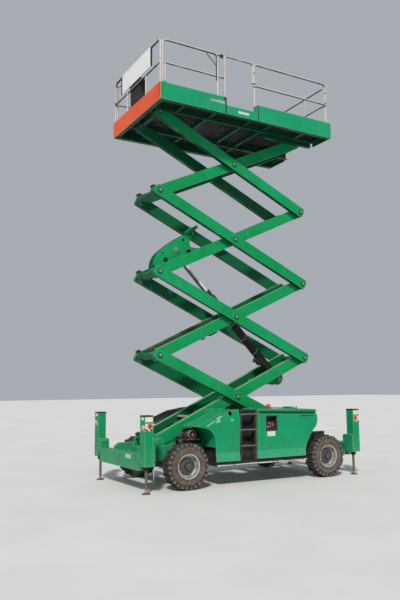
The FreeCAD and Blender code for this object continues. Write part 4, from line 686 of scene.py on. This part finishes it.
for stage in range(1, STAGES + 1):
    inner, outer = "inner_%d" % stage, "outer_%d" % stage
    knuckles = [ARM_LENGTH] if stage == 1 else [0.0, ARM_LENGTH]
    keepers = Kit("pin_keepers_%d" % stage, outer, PIN_PAINT, "bare_steel", outer_place(stage))
    seals = Kit("knuckle_seals_%d" % stage, outer, *BLACK_PART, outer_place(stage))
    centres = Kit("centre_pin_caps_%d" % stage, inner, PIN_PAINT, "bare_steel", inner_place(stage))
    stops = Kit("stop_pads_%d" % stage, inner, *BLACK_PART, inner_place(stage))
    for side in (-1, 1):
        for s in knuckles:
            keepers.stud((s, side * KEEPER_FACE, 0), (0, side * CAP_TALL, 0), 0.026, 20)
        for y, radius in ((0.262, 0.074), (0.394, 0.070)):
            seals.ring((ARM_LENGTH, side * y, 0), (0, 1, 0), radius, 0.009, 32)
        centres.stud((ARM_LENGTH / 2, side * CENTRE_FACE, 0), (0, side * CAP_TALL, 0), 0.027, 20, 0.023)
        stop_y = (side * STOP_Y[0], side * STOP_Y[1])
        stops.box(STOP_S, stop_y, STOP_N)
        if stage == FULL_STAGE:
            for bracket_s in BRACKET_S:
                stops.box(bracket_s, stop_y, BRACKET_N)
    keepers.done()
    seals.done()
    centres.done()
    stops.done(0.003)
    lines = Kit("hydraulic_lines_%d" % stage, inner, LINES, "black_paint", inner_place(stage))
    arm_lines(lines, -1, ARM_LENGTH - LINE_INSET, stage)
    if stage == FULL_STAGE:
        arm_lines(lines, 1, 1.75, stage)
    lines.done()
    clamps = Kit("line_clamps_%d" % stage, inner, *BLACK_PART, inner_place(stage))
    for i in range(6):
        s = 0.35 + i * 0.63
        clamps.box((s - CLAMP_HALF, s + CLAMP_HALF), (-INNER_IN, 0.022 - INNER_IN),
                   (LINE_N[1] - 0.020, LINE_N[0] + 0.020))
    clamps.done(0.002)
boxes("arm_cross_plate", "inner_1", PIN_PAINT, "bare_steel",
      ((0.86, 0.93), (-INNER_IN, INNER_IN), (0.058, 0.066)), place=inner_place(1))
tip = Kit("fin_tip", "inner_3", ARM_GREEN, "green_paint", inner_place(3))
for side in (-1, 1):
    tip.bar((1.130, side * 0.104, 0.462), (1.415, side * 0.104, 0.552), 0.044, 4, 0.040)
tip.done(0.003)

# Lift cylinder: clamp bands, valve block and oil lines on the barrel, gland bolts, pin caps
low = inner_place(1) @ Vector((LOW_PIN[0], 0, LOW_PIN[1]))
high = inner_place(3) @ Vector((HIGH_PIN[0], 0, HIGH_PIN[1]))
lean = math.atan2(high.z - low.z, high.x - low.x)
CYLINDER_PLACE = leaning(low.x, low.z, math.cos(lean), math.sin(lean))
GLAND_END = 0.697 * (high - low).length
BARREL_R = 0.075
BAND_HALF = 0.014
bands = Kit("barrel_bands", "barrel", WORN_STEEL, "bare_steel", CYLINDER_PLACE)
for s in (0.82, 1.22, 1.62, 2.16):
    bands.ring((s, 0, 0), (1, 0, 0), BARREL_R + 0.003, 0.006, 32)
    bands.box((s - BAND_HALF, s + BAND_HALF), (-0.016, 0.016), (-BARREL_R - 0.034, -BARREL_R))
for y, z in around(8, 0.068):
    bands.stud((GLAND_END - 0.001, y, z), (0.009, 0, 0), 0.008, 6)
bands.done()
boxes("barrel_valve_block", "barrel", *BLACK_PART,
      ((0.54, 0.72), (-0.045, 0.045), (BARREL_R - 0.012, BARREL_R + 0.048)),
      ((0.66, 0.71), (-0.030, 0.030), (BARREL_R + 0.047, BARREL_R + 0.085)), place=CYLINDER_PLACE,
      bevel=0.003)
pipe = Kit("barrel_oil_lines", "barrel", HOSE, "black_paint", CYLINDER_PLACE)
for y in (-0.012, 0.012):
    path = ((0.21, 0.018), (0.30, 0.022), (1.2, 0.020), (GLAND_END - 0.30, 0.022), (GLAND_END - 0.20, 0.018))
    pipe.line([(s, y, -BARREL_R - away) for s, away in path], 0.0095)
pipe.done()
for name, stage, (s, n), face, radius in (("cylinder_pin_caps", 1, LOW_PIN, 0.115, 0.044),
                                          ("rod_pin_caps", 3, HIGH_PIN, 0.126, 0.046)):
    caps = Kit(name, "inner_%d" % stage, BOLT, "bare_steel", inner_place(stage))
    for side in (-1, 1):
        caps.stud((s, side * (face - 0.002), n), (0, side * 0.008, 0), radius, 24)
        caps.bolt((s, side * (face + 0.005), n), (0, side, 0))
    caps.done()

# Wheels: nuts, a cap with its bolts and a valve, moulded rings and shoulder blocks on the side walls
NUTS = 10
SHOULDER_BLOCKS = 26
RIM_FACE = TYRE_OUT - 0.083
CAP_FACE = TYRE_OUT - 0.030
BLOCK_CORNERS = ((0.346, -0.020), (0.346, 0.020), (0.404, 0.029), (0.404, -0.029))
for end, axle_x in (("front", FRONT_AXLE_X), ("rear", REAR_AXLE_X)):
    for side_name, side in SIDES:
        tag = "%s_%s" % (end, side_name)
        nuts = Kit("wheel_nuts_" + tag, "wheel_" + tag, MATERIALS["black_paint"], "rim_paint")
        for x, z in around(NUTS, 0.122):
            nuts.bolt((axle_x + x, side * RIM_FACE, WHEEL_R + z), (0, side, 0), 0.012, 0.016)
        nuts.ring((axle_x, side * CAP_FACE, WHEEL_R), (0, 1, 0), 0.053, 0.004, 28)
        for x, z in around(6, 0.040, 0.5):
            nuts.bolt((axle_x + x, side * (CAP_FACE + 0.0035), WHEEL_R + z), (0, side, 0), 0.006, 0.004)
        nuts.bar((axle_x + 0.150, side * (TYRE_OUT - 0.10), WHEEL_R + 0.09),
                 (axle_x + 0.158, side * (TYRE_OUT - 0.055), WHEEL_R + 0.096), 0.005, 10)
        nuts.done()
        rings = Kit("tyre_rings_" + tag, "wheel_" + tag, MATERIALS["tyre"], "tyre")
        for radius, wire, sunk in ((0.236, 0.007, 0.0095), (0.262, 0.004, 0.0065), (0.306, 0.005, 0.0030)):
            rings.ring((axle_x, side * (TYRE_OUT - sunk), WHEEL_R), (0, 1, 0), radius, wire, 72)
        rings.done()
        blocks = Kit("tyre_blocks_" + tag, "wheel_" + tag, SHOULDER, "tyre")
        for cos, sin in around(SHOULDER_BLOCKS):
            outline = []
            for reach, spread in BLOCK_CORNERS:
                outline.append((axle_x + cos * reach - sin * spread, WHEEL_R + sin * reach + cos * spread))
            blocks.prism(outline, skin(side, TYRE_OUT, -0.012, 0.050))
        blocks.done(0.003)

# Outriggers: blank plates, hazard marks, reflectors, black trims, bolts and the glands' seals
END_FACE = 2.473
TOWER_OUT = 1.205
TOWER_BOLT_X = 2.330
LEG_X = 2.390
LEG_Y = 1.085
FLAT = 0.0012
# How deep a big bolt's foot lies, so that only the end of its head stands out
SUNK = 0.0105
for end, sx in ENDS:
    for side_name, sy in SIDES:
        tag = "%s_%s" % (end, side_name)
        outside = skin(sy, TOWER_OUT, FLAT)
        front = skin(sx, END_FACE, FLAT)
        boxes("tower_plates_" + tag, "chassis", CREAM_PLATE, "sign_plate",
              ((sx * 2.322, sx * 2.466), outside, (1.232, 1.318)),
              (front, (sy * 1.060, sy * 1.165), (1.262, 1.312)),
              ((sx * 2.330, sx * 2.468), outside, (1.112, 1.206)),
              (front, (sy * 1.090, sy * 1.198), (1.128, 1.172)))
        boxes("tower_hazard_" + tag, "chassis", HAZARD, "black_paint",
              ((sx * 2.330, sx * 2.468), skin(sy, TOWER_OUT, FLAT * 1.3), (1.078, 1.112)),
              (front, (sy * 1.020, sy * 1.198), (1.080, 1.128)))
        lens = Kit("tower_reflector_" + tag, "chassis", REFLECTOR, "beacon_lens")
        lens.stud((sx * 2.378, sy * TOWER_OUT, 1.160), (0, sy * 0.0015, 0), 0.047, 32, 0.045)
        lens.done()
        trim = Kit("tower_trim_" + tag, "chassis", *BLACK_PART)
        trim.box((sx * 2.309, sx * 2.4745), (sy * 0.999, sy * 1.2065), (1.322, 1.3462))
        trim.ring((sx * LEG_X, sy * LEG_Y, 0.409), (0, 0, 1), 0.040, 0.007, 28)
        trim.done()
        bolts = Kit("tower_bolts_" + tag, "chassis", BOLT, "bare_steel")
        for z in (0.52, 0.60, 0.69, 0.77):
            bolts.bolt((sx * TOWER_BOLT_X, sy * (TOWER_OUT - SUNK), z), (0, sy, 0), 0.010)
        for x, y in around(4, 0.046, 0.5):
            bolts.stud((sx * LEG_X + x, sy * LEG_Y + y, 0.399), (0, 0, 0.007), 0.006, 6)
        bolts.done()
strap = Kit("tie_strap_front_left", "chassis", MINT_PLATE, "bare_steel")
strap.bar((-2.285, -1.172, 0.505), (-2.285, -1.188, 0.450), 0.009, 10)
strap.bar((-2.285, -1.188, 0.455), (-2.300, -1.190, 0.245), 0.010, 10, 0.004)
strap.done()

# End beams: bolt rows, tow bore lips and the small blank plate of the front one
BORE_Z = 0.520
beams = Kit("beam_bolts", "chassis", BOLT, "bare_steel")
for sx in (-1, 1):
    beams.ring((sx * (END_FACE - 0.0035), 0, BORE_Z), (1, 0, 0), 0.041, 0.005, 32)
    for y in (-0.780, -0.700, 0.700, 0.780):
        for z in (0.435, 0.602):
            beams.bolt((sx * (END_FACE - SUNK), y, z), (sx, 0, 0), 0.009)
beams.done()
boxes("beam_plate", "chassis", MINT_PLATE, "sign_plate",
      (skin(-1, END_FACE, FLAT), (-0.610, -0.370), (0.565, 0.635)))

# Engine drive over the left front wheel: belt, pulley rings, fins, filler cap and hoses
PUMP = (-1.330, 0.955)
ALTERNATOR = (-1.520, 0.935)
PULLEYS = ((PUMP, 0.086), (ALTERNATOR, 0.050))
BELT_Y = -0.814
drive = Kit("drive_details", "chassis", *BLACK_PART)
for (x, z), r in PULLEYS:
    drive.ring((x, BELT_Y, z), (0, 1, 0), r, 0.005, 40)
    drive.ring((x, BELT_Y - 0.010, z), (0, 1, 0), r * 0.9, 0.005, 40)
span = Vector(PUMP) - Vector(ALTERNATOR)
tilt = math.asin((PULLEYS[0][1] - PULLEYS[1][1]) / span.length)
for sign in (-1, 1):
    a = math.atan2(span.y, span.x) + sign * (math.pi / 2 + tilt)
    p, q = [(x + r * math.cos(a), BELT_Y, z + r * math.sin(a)) for (x, z), r in PULLEYS]
    drive.bar(p, q, 0.005)
for i in range(6):
    drive.ring((ALTERNATOR[0], -0.722 - 0.018 * i, ALTERNATOR[1]), (0, 1, 0), 0.055, 0.004, 32)
    drive.ring((PUMP[0], -0.710 - 0.015 * i, PUMP[1]), (0, 1, 0), 0.072, 0.003, 32)
drive.done()
boxes("drive_bulkhead", "chassis", *BLACK_PART, ((-1.420, -0.985), (-0.600, -0.592), (0.760, 1.060)))
hoses = Kit("drive_hoses", "chassis", HOSE, "black_paint")
for x, z, drop in ((-1.36, 1.02, 0.05), (-1.30, 1.025, 0.02), (-1.27, 0.99, 0.0)):
    hoses.line([(x, -0.760, z - 0.03), (x + 0.01, -0.745, z + 0.03), (x + 0.05, -0.700, z + 0.05 - drop),
                (x + 0.12, -0.640, z - 0.02), (x + 0.15, -0.606, 0.84), (x + 0.15, -0.600, 0.772)], 0.013)
hoses.done()
bright = Kit("pulley_rings", "chassis", WORN_STEEL, "bare_steel")
bright.ring((PUMP[0], -0.831, PUMP[1]), (0, 1, 0), 0.079, 0.0055, 40)
bright.ring((PUMP[0], -0.862, PUMP[1]), (0, 1, 0), 0.018, 0.004, 24)
for x in (-1.60, -1.44, -1.20):
    bright.bolt((x, -0.850, 0.866), (0, -1, 0), 0.006, 0.004)
bright.done()
filler = Kit("filler_cap", "chassis", RUSTY, "black_paint")
filler.stud((-1.430, -0.790, 0.868), (0, 0, 0.020), 0.019, 20)
filler.done()

# Side trays: a black edge, worn at its foot, with clips, the same on both sides
TRAY_OUT = 1.125
TRAY_X = (-0.985, 1.120)
for side_name, sy in SIDES:
    boxes("tray_edge_" + side_name, "chassis", MATERIALS["plastic_box"], "black_paint",
          (TRAY_X, skin(sy, TRAY_OUT, 0.006), (0.376, 0.452)), bevel=0.002)
    worn = Kit("tray_wear_" + side_name, "chassis", CHIPPED, "bare_steel")
    x = TRAY_X[0] + 0.010
    while x < TRAY_X[1] - 0.020:
        length = random.uniform(0.10, 0.30)
        low_z = random.uniform(0.379, 0.384)
        high_z = low_z + random.uniform(0.015, 0.024)
        worn.box((x, min(x + length, TRAY_X[1] - 0.005)), skin(sy, TRAY_OUT, 0.0075, -0.005),
                 (low_z, high_z))
        x += length + random.uniform(0.0, 0.03)
    worn.done()
    clips = Kit("tray_clips_" + side_name, "chassis", MATERIALS["orange_paint"], "orange_paint")
    for x in (-0.66, -0.55, -0.51):
        clips.stud((x, sy * (TRAY_OUT + 0.005), 0.436), (0, sy * 0.004, 0), 0.008, 12)
    clips.done()

# Ladder: rubbed front edges of the treads and bolts, a side panel and the step box's pale trim
LADDER_X = (-0.425, -0.090)
LADDER_Y = -1.112
ladder = Kit("ladder_wear", "chassis", WORN_STEEL, "bare_steel")
for z in (0.725, 1.025, 1.315):
    ladder.box((LADDER_X[0] + 0.016, LADDER_X[1] - 0.016), (LADDER_Y - 0.0007, -1.100),
               (z - 0.006, z + 0.0008))
    for x in LADDER_X:
        ladder.bolt((x, LADDER_Y, z - 0.012), (0, -1, 0), 0.006, 0.004)
ladder.done()
boxes("ladder_side_panel", "chassis", *BLACK_PART, ((-0.0785, -0.0745), (-1.110, -0.905), (0.385, 1.375)))
boxes("step_box_trim", "chassis", PLATE, "sign_plate", ((-0.4145, -0.4125), (-1.088, -1.080), (0.43, 0.69)))

# Hoods: window frame, shaded band, vent slot, blank plate, the hole's rim
WINDOW_X = (0.133, 0.383)
WINDOW_Z = (0.987, 1.259)
FRAME_WIDE = 0.014
BAND_OUTLINE = ((-0.020, 1.313), (1.330, 1.275), (1.330, 1.318), (-0.020, 1.360))
frame_y = skin(-1, HOOD_OUT, 0.003, 0.006)
frame_z = (WINDOW_Z[0] - FRAME_WIDE, WINDOW_Z[1] + FRAME_WIDE)
boxes("rear_hood_trim", "hood_rear_left", *BLACK_PART,
      ((WINDOW_X[0] - FRAME_WIDE, WINDOW_X[0]), frame_y, frame_z),
      ((WINDOW_X[1], WINDOW_X[1] + FRAME_WIDE), frame_y, frame_z),
      (WINDOW_X, frame_y, (frame_z[0], WINDOW_Z[0])),
      (WINDOW_X, frame_y, (WINDOW_Z[1], frame_z[1])))
for side_name, sy in SIDES:
    body = "hood_rear_" + side_name
    band = Kit("rear_hood_band_" + side_name, body, SHADED_GREEN, "green_paint")
    band.prism(BAND_OUTLINE, sorted(skin(sy, HOOD_OUT - 0.022, 0.002)))
    band.done()
    boxes("rear_hood_vent_" + side_name, body, MATERIALS["plastic_box"], "black_paint",
          ((0.965, 1.290), skin(sy, HOOD_OUT, 0.0012, 0.004), (1.232, 1.250)))
boxes("rear_hood_plate", "hood_rear_left", PLATE, "sign_plate",
      ((0.151, 0.341), skin(-1, HOOD_OUT, FLAT), (0.878, 0.970)))
rim = Kit("hood_hole_rim", "hood_front_left", *BLACK_PART)
rim.ring((-0.673, -1.1095, 1.330), (0, -0.96, 0.27), 0.043, 0.009, 36)
rim.done()

# Ground controls: stop button cap, pale and orange knob caps and switch guards on the sloping face
SLOPE_LOW = Vector((0, -1.104, 0.992))
SLOPE_HIGH = Vector((0, -1.050, 1.199))
KNOB_X = (0.190, 0.245)
STOP_X = 0.318
slope_up = (SLOPE_HIGH - SLOPE_LOW).normalized()
slope_out = Vector((0, -slope_up.z, slope_up.y))


def on_slope(x, up, out):
    return Vector((x, 0, 0)) + SLOPE_LOW + slope_up * up + slope_out * out


stop = Kit("stop_button_cap", "chassis", REFLECTOR, "beacon_lens")
stop.stud(on_slope(STOP_X, 0.095, 0.029), slope_out * 0.009, 0.029, 28, 0.024)
stop.done()
cap = Kit("control_caps", "chassis", PLATE, "sign_plate")
cap.stud(on_slope(KNOB_X[0], 0.060, 0.023), slope_out * 0.005, 0.012, 20, 0.010)
cap.stud(on_slope(KNOB_X[1], 0.130, 0.019), slope_out * 0.004, 0.010, 20, 0.008)
cap.done()
orange = Kit("control_cap_orange", "chassis", MATERIALS["beacon_lens"], "beacon_lens")
orange.stud(on_slope(KNOB_X[1], 0.060, 0.023), slope_out * 0.005, 0.012, 20, 0.010)
orange.done()
guards = Kit("control_rings", "chassis", WORN_STEEL, "bare_steel")
for up, r in ((0.060, 0.018), (0.130, 0.015)):
    for x in KNOB_X:
        guards.ring(on_slope(x, up, 0.001), slope_out, r, 0.0022, 28)
guards.ring(on_slope(STOP_X, 0.095, 0.001), slope_out, 0.034, 0.0022, 28)
guards.done()

# Beacon: three black rings round its base
BEACON_X, BEACON_Y = 0.510, -0.700
base_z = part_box("beacon")[1][2] - 0.074
beacon = Kit("beacon_base", "hood_rear_left", *BLACK_PART)
for lift in (-0.008, 0.000, 0.008):
    beacon.ring((BEACON_X, BEACON_Y, base_z + lift), (0, 0, 1), 0.052, 0.0035, 40)
beacon.done()

# Platform underside: ribs of the deck sheet between the members, out of the folded arms' way
MEMBER_X = [PIVOT_X + share * ARM_LENGTH for share in (0.280, 0.504, 0.634, 0.087, 0.855, 0.993)]
RIB_PITCH = 0.115
RIB_HALF = 0.024
SHEET_OUT = 1.049
FIN_FOLD = (-0.860, -0.240)
# The ribs and the sheet are near black: painted shade under the deck
ribs = Kit("underdeck_ribs", "platform", UNDERDECK_SHADE, "black_paint")
x = -2.020
while x < 2.000:
    if all(abs(x - member) > 0.055 for member in MEMBER_X):
        rib_spans = [(-SHEET_OUT, -0.582), (0.582, SHEET_OUT)]
        if x >= PIVOT_X + 0.30 and not FIN_FOLD[0] < x < FIN_FOLD[1]:
            rib_spans.insert(1, (-0.262, 0.262))
        for y in rib_spans:
            ribs.box((x - RIB_HALF, x + RIB_HALF), y, (DECK_Z - 0.020, DECK_Z + 0.001))
    x += RIB_PITCH
ribs.done(0.004)
sheet = Kit("underdeck_sheet", "platform", UNDERDECK_SHADE, "black_paint")
for y in ((-SHEET_OUT, -0.581), (-0.539, 0.539), (0.581, SHEET_OUT)):
    sheet.box((-2.035, 2.020), y, (DECK_Z - 0.0015, DECK_Z + 0.001))
sheet.done()

# Deck surfaces: slip-resistant plates on the fixed and the roll-out deck
TREAD_PITCH_X = 0.085
TREAD_PITCH_Y = 0.105
TREAD_FIRST_Y = -1.02
for name, body, x, z in (("deck_tread_fixed", "platform", (-0.655, 2.020), FOOT_Z),
                         ("deck_tread_rollout", "rollout", (-2.130, -0.668), ROLL_FOOT_Z)):
    tread = Kit(name, body, TREAD, "black_paint")
    tread.box(x, (-1.060, 1.060), (z, z + 0.0012))
    row = 0
    cross_x = x[0] + 0.06
    while cross_x < x[1] - 0.04:
        shift = 0.05 if row % 2 else 0.0
        for i in range(20):
            y = TREAD_FIRST_Y + shift + i * TREAD_PITCH_Y
            tread.box((cross_x - 0.016, cross_x + 0.016), (y - 0.004, y + 0.004), (z, z + 0.0030))
        cross_x += TREAD_PITCH_X
        row += 1
    tread.done()

# Platform panels: the seam strips and the latch, blank plates, bolts at the panels' feet
PANEL_FOOT_Z = DECK_Z - 0.170
PANEL_TOP_Z = DECK_Z + 0.164
END_PANEL_X = -2.150
seam_y = skin(-1, PANEL_HALF, 0.0015, 0.0005)
boxes("panel_seam", "rollout", *BLACK_PART,
      ((-0.700, -0.6655), seam_y, (PANEL_FOOT_Z, PANEL_TOP_Z)),
      ((-0.740, -0.690), skin(-1, PANEL_HALF, 0.010), (PANEL_TOP_Z - 0.042, PANEL_TOP_Z)))
boxes("panel_seam_fixed", "platform", *BLACK_PART,
      ((0.088, 0.112), seam_y, (PANEL_FOOT_Z, PANEL_TOP_Z - 0.006)))
boxes("panel_plate_rollout", "rollout", GREY_PLATE, "sign_plate",
      ((-1.040, -0.715), skin(-1, PANEL_HALF, FLAT), (PANEL_TOP_Z - 0.144, PANEL_TOP_Z - 0.092)))
boxes("panel_plate_sill", "platform", PLATE, "sign_plate",
      ((-0.390, -0.130), skin(-1, PANEL_HALF, FLAT), (PANEL_FOOT_Z + 0.062, PANEL_FOOT_Z + 0.112)))
for name, body, first_x, last_x in (("panel_bolts_fixed", "platform", 0.16, 1.96),
                                    ("panel_bolts_rollout", "rollout", -2.05, -0.85)):
    bolts = Kit(name, body, BOLT, "bare_steel")
    gaps = int((last_x - first_x) / 0.36)
    for i in range(gaps + 1):
        x = first_x + i * (last_x - first_x) / gaps
        for sy in (-1, 1):
            bolts.bolt((x, sy * PANEL_HALF, PANEL_FOOT_Z + 0.030), (0, sy, 0), 0.008, 0.004)
    bolts.done()
boxes("end_panel_streak", "rollout", RUSTY, "black_paint",
      ((END_PANEL_X - 0.0012, END_PANEL_X + 0.001), (-1.122, -1.106),
       (PANEL_FOOT_Z + 0.052, PANEL_TOP_Z - 0.042)))
ends = Kit("end_panel_bolts", "rollout", BOLT, "bare_steel")
for i in range(-3, 4):
    ends.bolt((END_PANEL_X, 0.36 * i, PANEL_FOOT_Z + 0.024), (-1, 0, 0), 0.008, 0.0035)
ends.done()

# Rails: green sockets at the posts' feet, clips and rings over them, a sleeve and rust at the welds
REAR_POST_X = 1.945
NEAR_POST_X = 0.035
SLEEVE_X = -2.020
END_POST_Y = 0.9
FIXED_POSTS = ((NEAR_POST_X, -RAIL_Y), (REAR_POST_X, -RAIL_Y), (-0.640, RAIL_Y), (0.220, RAIL_Y),
               (1.080, RAIL_Y),
               (REAR_POST_X, RAIL_Y), (REAR_POST_X, -1.0725), (REAR_POST_X, 1.0725), (REAR_POST_X, -0.400),
               (REAR_POST_X, 0.400))
ROLL_POSTS = ((-2.077, -ROLL_RAIL_Y), (-0.845, -ROLL_RAIL_Y), (SLEEVE_X, -ROLL_RAIL_Y),
              (-2.077, ROLL_RAIL_Y),
              (-1.400, ROLL_RAIL_Y), (-0.700, ROLL_RAIL_Y), (END_RAIL_X, -ROLL_RAIL_Y), (END_RAIL_X,
                                                                                         ROLL_RAIL_Y),
              (END_RAIL_X, -0.452), (END_RAIL_X, 0.452))
for name, body, posts, foot in (("fixed", "platform", FIXED_POSTS, FOOT_Z),
                                ("rollout", "rollout", ROLL_POSTS, ROLL_FOOT_Z)):
    sockets = Kit("rail_sockets_" + name, body, MATERIALS["green_paint"], "green_paint")
    fittings = Kit("rail_fittings_" + name, body, *BLACK_PART)
    for x, y in posts:
        sockets.stud((x, y, foot), (0, 0, 0.120), 0.0235, 20)
        inward = -0.030 if y > 0 else 0.030
        if abs(y) > END_POST_Y:
            fittings.stud((x, y + inward * 0.7, foot + 0.085), (0, inward * 0.4, 0), 0.006, 10)
        fittings.ring((x, y, foot + 0.121), (0, 0, 1), 0.0215, 0.0035, 24)
    sockets.done()
    fittings.done()
sleeve = Kit("post_sleeve", "rollout", PANEL_GREEN, "green_paint")
sleeve.stud((SLEEVE_X, -ROLL_RAIL_Y, PANEL_TOP_Z - 0.027), (0, 0, 0.080), 0.030, 20, 0.024)
sleeve.done()
rust = Kit("rail_rust_fixed", "platform", RUSTY, "rail_paint")
for x in (NEAR_POST_X, REAR_POST_X):
    for z in (RAIL_MID_Z - 0.045, RAIL_MID_Z + 0.020, RAIL_TOP_Z - 0.230):
        rust.stud((x, -RAIL_Y, z), (0, 0, 0.022), 0.0208, 16)
rust.done()

# Roll-out rails: black rod with its stay, the top latch, clamps, sign edges and bolts
TOP_RAIL_Z = RAIL_TOP_Z - 0.020
ROD_X = -0.878
ROD_Y = -ROLL_RAIL_Y - 0.014
latch = Kit("rollout_latch_rod", "rollout", *BLACK_PART)
latch.bar((ROD_X, ROD_Y, RAIL_MID_Z - 0.10), (ROD_X, ROD_Y, RAIL_TOP_Z - 0.045), 0.010)
latch.bar((ROD_X - 0.230, ROD_Y, RAIL_TOP_Z - 0.059), (ROD_X, ROD_Y, RAIL_TOP_Z - 0.276), 0.008)
latch.box((-0.780, -0.712), (-ROLL_RAIL_Y - 0.022, -ROLL_RAIL_Y + 0.022),
          (RAIL_TOP_Z - 0.060, RAIL_TOP_Z - 0.004))
for z in (RAIL_MID_Z, TOP_RAIL_Z):
    latch.stud((-0.735, -ROLL_RAIL_Y, z), (0.023, 0, 0), 0.0204, 18)
latch.done()
cross = Kit("cross_rail_clamps", "rollout", *BLACK_PART)
for y in (-1.02, -0.80, 0.80, 1.02):
    cross.stud((END_RAIL_X, y - 0.016, TOP_RAIL_Z), (0, 0.032, 0), 0.0205, 20)
cross.stud((END_RAIL_X, 0.770, TOP_RAIL_Z), (0, 0.270, 0), 0.0202, 20)
cross.stud((END_RAIL_X, 1.080, RAIL_MID_Z - 0.030), (0, 0, 0.060), 0.024, 12)
for y in (-0.90, 0.90):
    cross.stud((END_RAIL_X, y - 0.014, RAIL_MID_Z), (0, 0.028, 0), 0.021, 20)
cross.done()
SIGN_Y = (-0.718, 0.680)
SIGN_Z = (RAIL_MID_Z + 0.065, RAIL_TOP_Z - 0.009)
boxes("sign_edges", "rollout", MATERIALS["plastic_box"], "black_paint",
      ((END_PANEL_X - 0.0005, END_PANEL_X + 0.036), (SIGN_Y[0] - 0.006, SIGN_Y[0] + 0.0005), SIGN_Z),
      ((END_PANEL_X + 0.003, END_PANEL_X + 0.009), (SIGN_Y[1] - 0.010, SIGN_Y[1] + 0.062), SIGN_Z))
bolts = Kit("sign_bolts", "rollout", BOLT, "bare_steel")
for y in (-0.60, -0.15, 0.30, 0.60):
    for z in (SIGN_Z[0] + 0.05, SIGN_Z[1] - 0.05):
        bolts.bolt((END_PANEL_X, y, z), (-1, 0, 0), 0.007, 0.0035)
bolts.done()

# Upper control box: the lever's rubber boot, switches and a red stop button
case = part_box("upper_control_box")
box_x = case[0][0]
box_y = (case[0][1] + case[1][1]) / 2
box_top = RAIL_MID_Z + 0.110
controls = Kit("upper_box_details", "rollout", MATERIALS["plastic_box"], "plastic_box")
for i in range(4):
    controls.ring((box_x + 0.095, box_y, box_top - 0.012 + 0.011 * i), (0, 0, 1), 0.034 - 0.006 * i, 0.006,
                  28)
for y in (-0.17, -0.10, 0.10, 0.17):
    controls.stud((box_x + 0.035, box_y + y, box_top), (0, 0, 0.016), 0.010, 16)
controls.done()
stop = Kit("upper_stop_button", "rollout", REFLECTOR, "beacon_lens")
stop.stud((box_x + 0.038, box_y, box_top), (0, 0, 0.024), 0.021, 24, 0.018)
stop.done()

# Camera: a 649-pixel focal length in a 400 by 600 frame, solved from the photograph
IMAGE_LONG_PX = 600
FOCAL_PX = 649
CAMERA_PLACE = Vector((-7.311, -11.575, 1.828))
CAMERA_YAW = 0.5214
CAMERA_PITCH = 0.1334
CAMERA_ROLL = -0.0085
camera_data = bpy.data.cameras.new("camera")
camera_data.sensor_fit = "AUTO"
camera_data.sensor_width = 36.0
camera_data.lens = FOCAL_PX * 36.0 / IMAGE_LONG_PX
camera_data.clip_end = 300.0
camera = bpy.data.objects.new("camera", camera_data)
bpy.context.scene.collection.objects.link(camera)
level_right = Vector((math.cos(CAMERA_YAW), -math.sin(CAMERA_YAW), 0.0))
level = Vector((math.sin(CAMERA_YAW), math.cos(CAMERA_YAW), 0.0)) * math.cos(CAMERA_PITCH)
forward = level + Vector((0.0, 0.0, math.sin(CAMERA_PITCH)))
level_up = level_right.cross(forward)
right = level_right * math.cos(CAMERA_ROLL) + level_up * math.sin(CAMERA_ROLL)
up = level_up * math.cos(CAMERA_ROLL) - level_right * math.sin(CAMERA_ROLL)
turn = Matrix((right, up, -forward)).transposed()
camera.matrix_world = Matrix.Translation(CAMERA_PLACE) @ turn.to_4x4()
bpy.context.scene.camera = camera

# Floor and light
floor_mesh = bpy.data.meshes.new("floor")
FLOOR_HALF = 90.0
floor_mesh.from_pydata([(-FLOOR_HALF, -FLOOR_HALF, 0), (FLOOR_HALF, -FLOOR_HALF, 0),
                        (FLOOR_HALF, FLOOR_HALF, 0), (-FLOOR_HALF, FLOOR_HALF, 0)], [], [(0, 1, 2, 3)])
floor = bpy.data.objects.new("floor", floor_mesh)
bpy.context.scene.collection.objects.link(floor)
floor_nodes = Nodes("floor_surface")
floor_shade = floor_nodes.mix(floor_nodes.patches(0.4, 0.7, 0.6), (0.60, 0.60, 0.59),
                              (0.64, 0.64, 0.63))
floor_mesh.materials.append(floor_nodes.finish(floor_shade, 0.9))

world = bpy.data.worlds.new("studio")
world.use_nodes = True
world.node_tree.nodes["Background"].inputs["Color"].default_value = (0.78, 0.83, 0.90, 1.0)
world.node_tree.nodes["Background"].inputs["Strength"].default_value = 0.50
bpy.context.scene.world = world


def sun(name, towards, strength, spread, colour):
    data = bpy.data.lights.new(name, "SUN")
    data.energy = strength
    data.angle = math.radians(spread)
    data.color = colour
    lamp = bpy.data.objects.new(name, data)
    lamp.rotation_euler = Vector(towards).to_track_quat("-Z", "Y").to_euler()
    bpy.context.scene.collection.objects.link(lamp)


sun("key", (0.55, 0.75, -0.80), 3.5, 6.0, (1.0, 0.97, 0.92))
bpy.context.scene.view_settings.view_transform = "Standard"
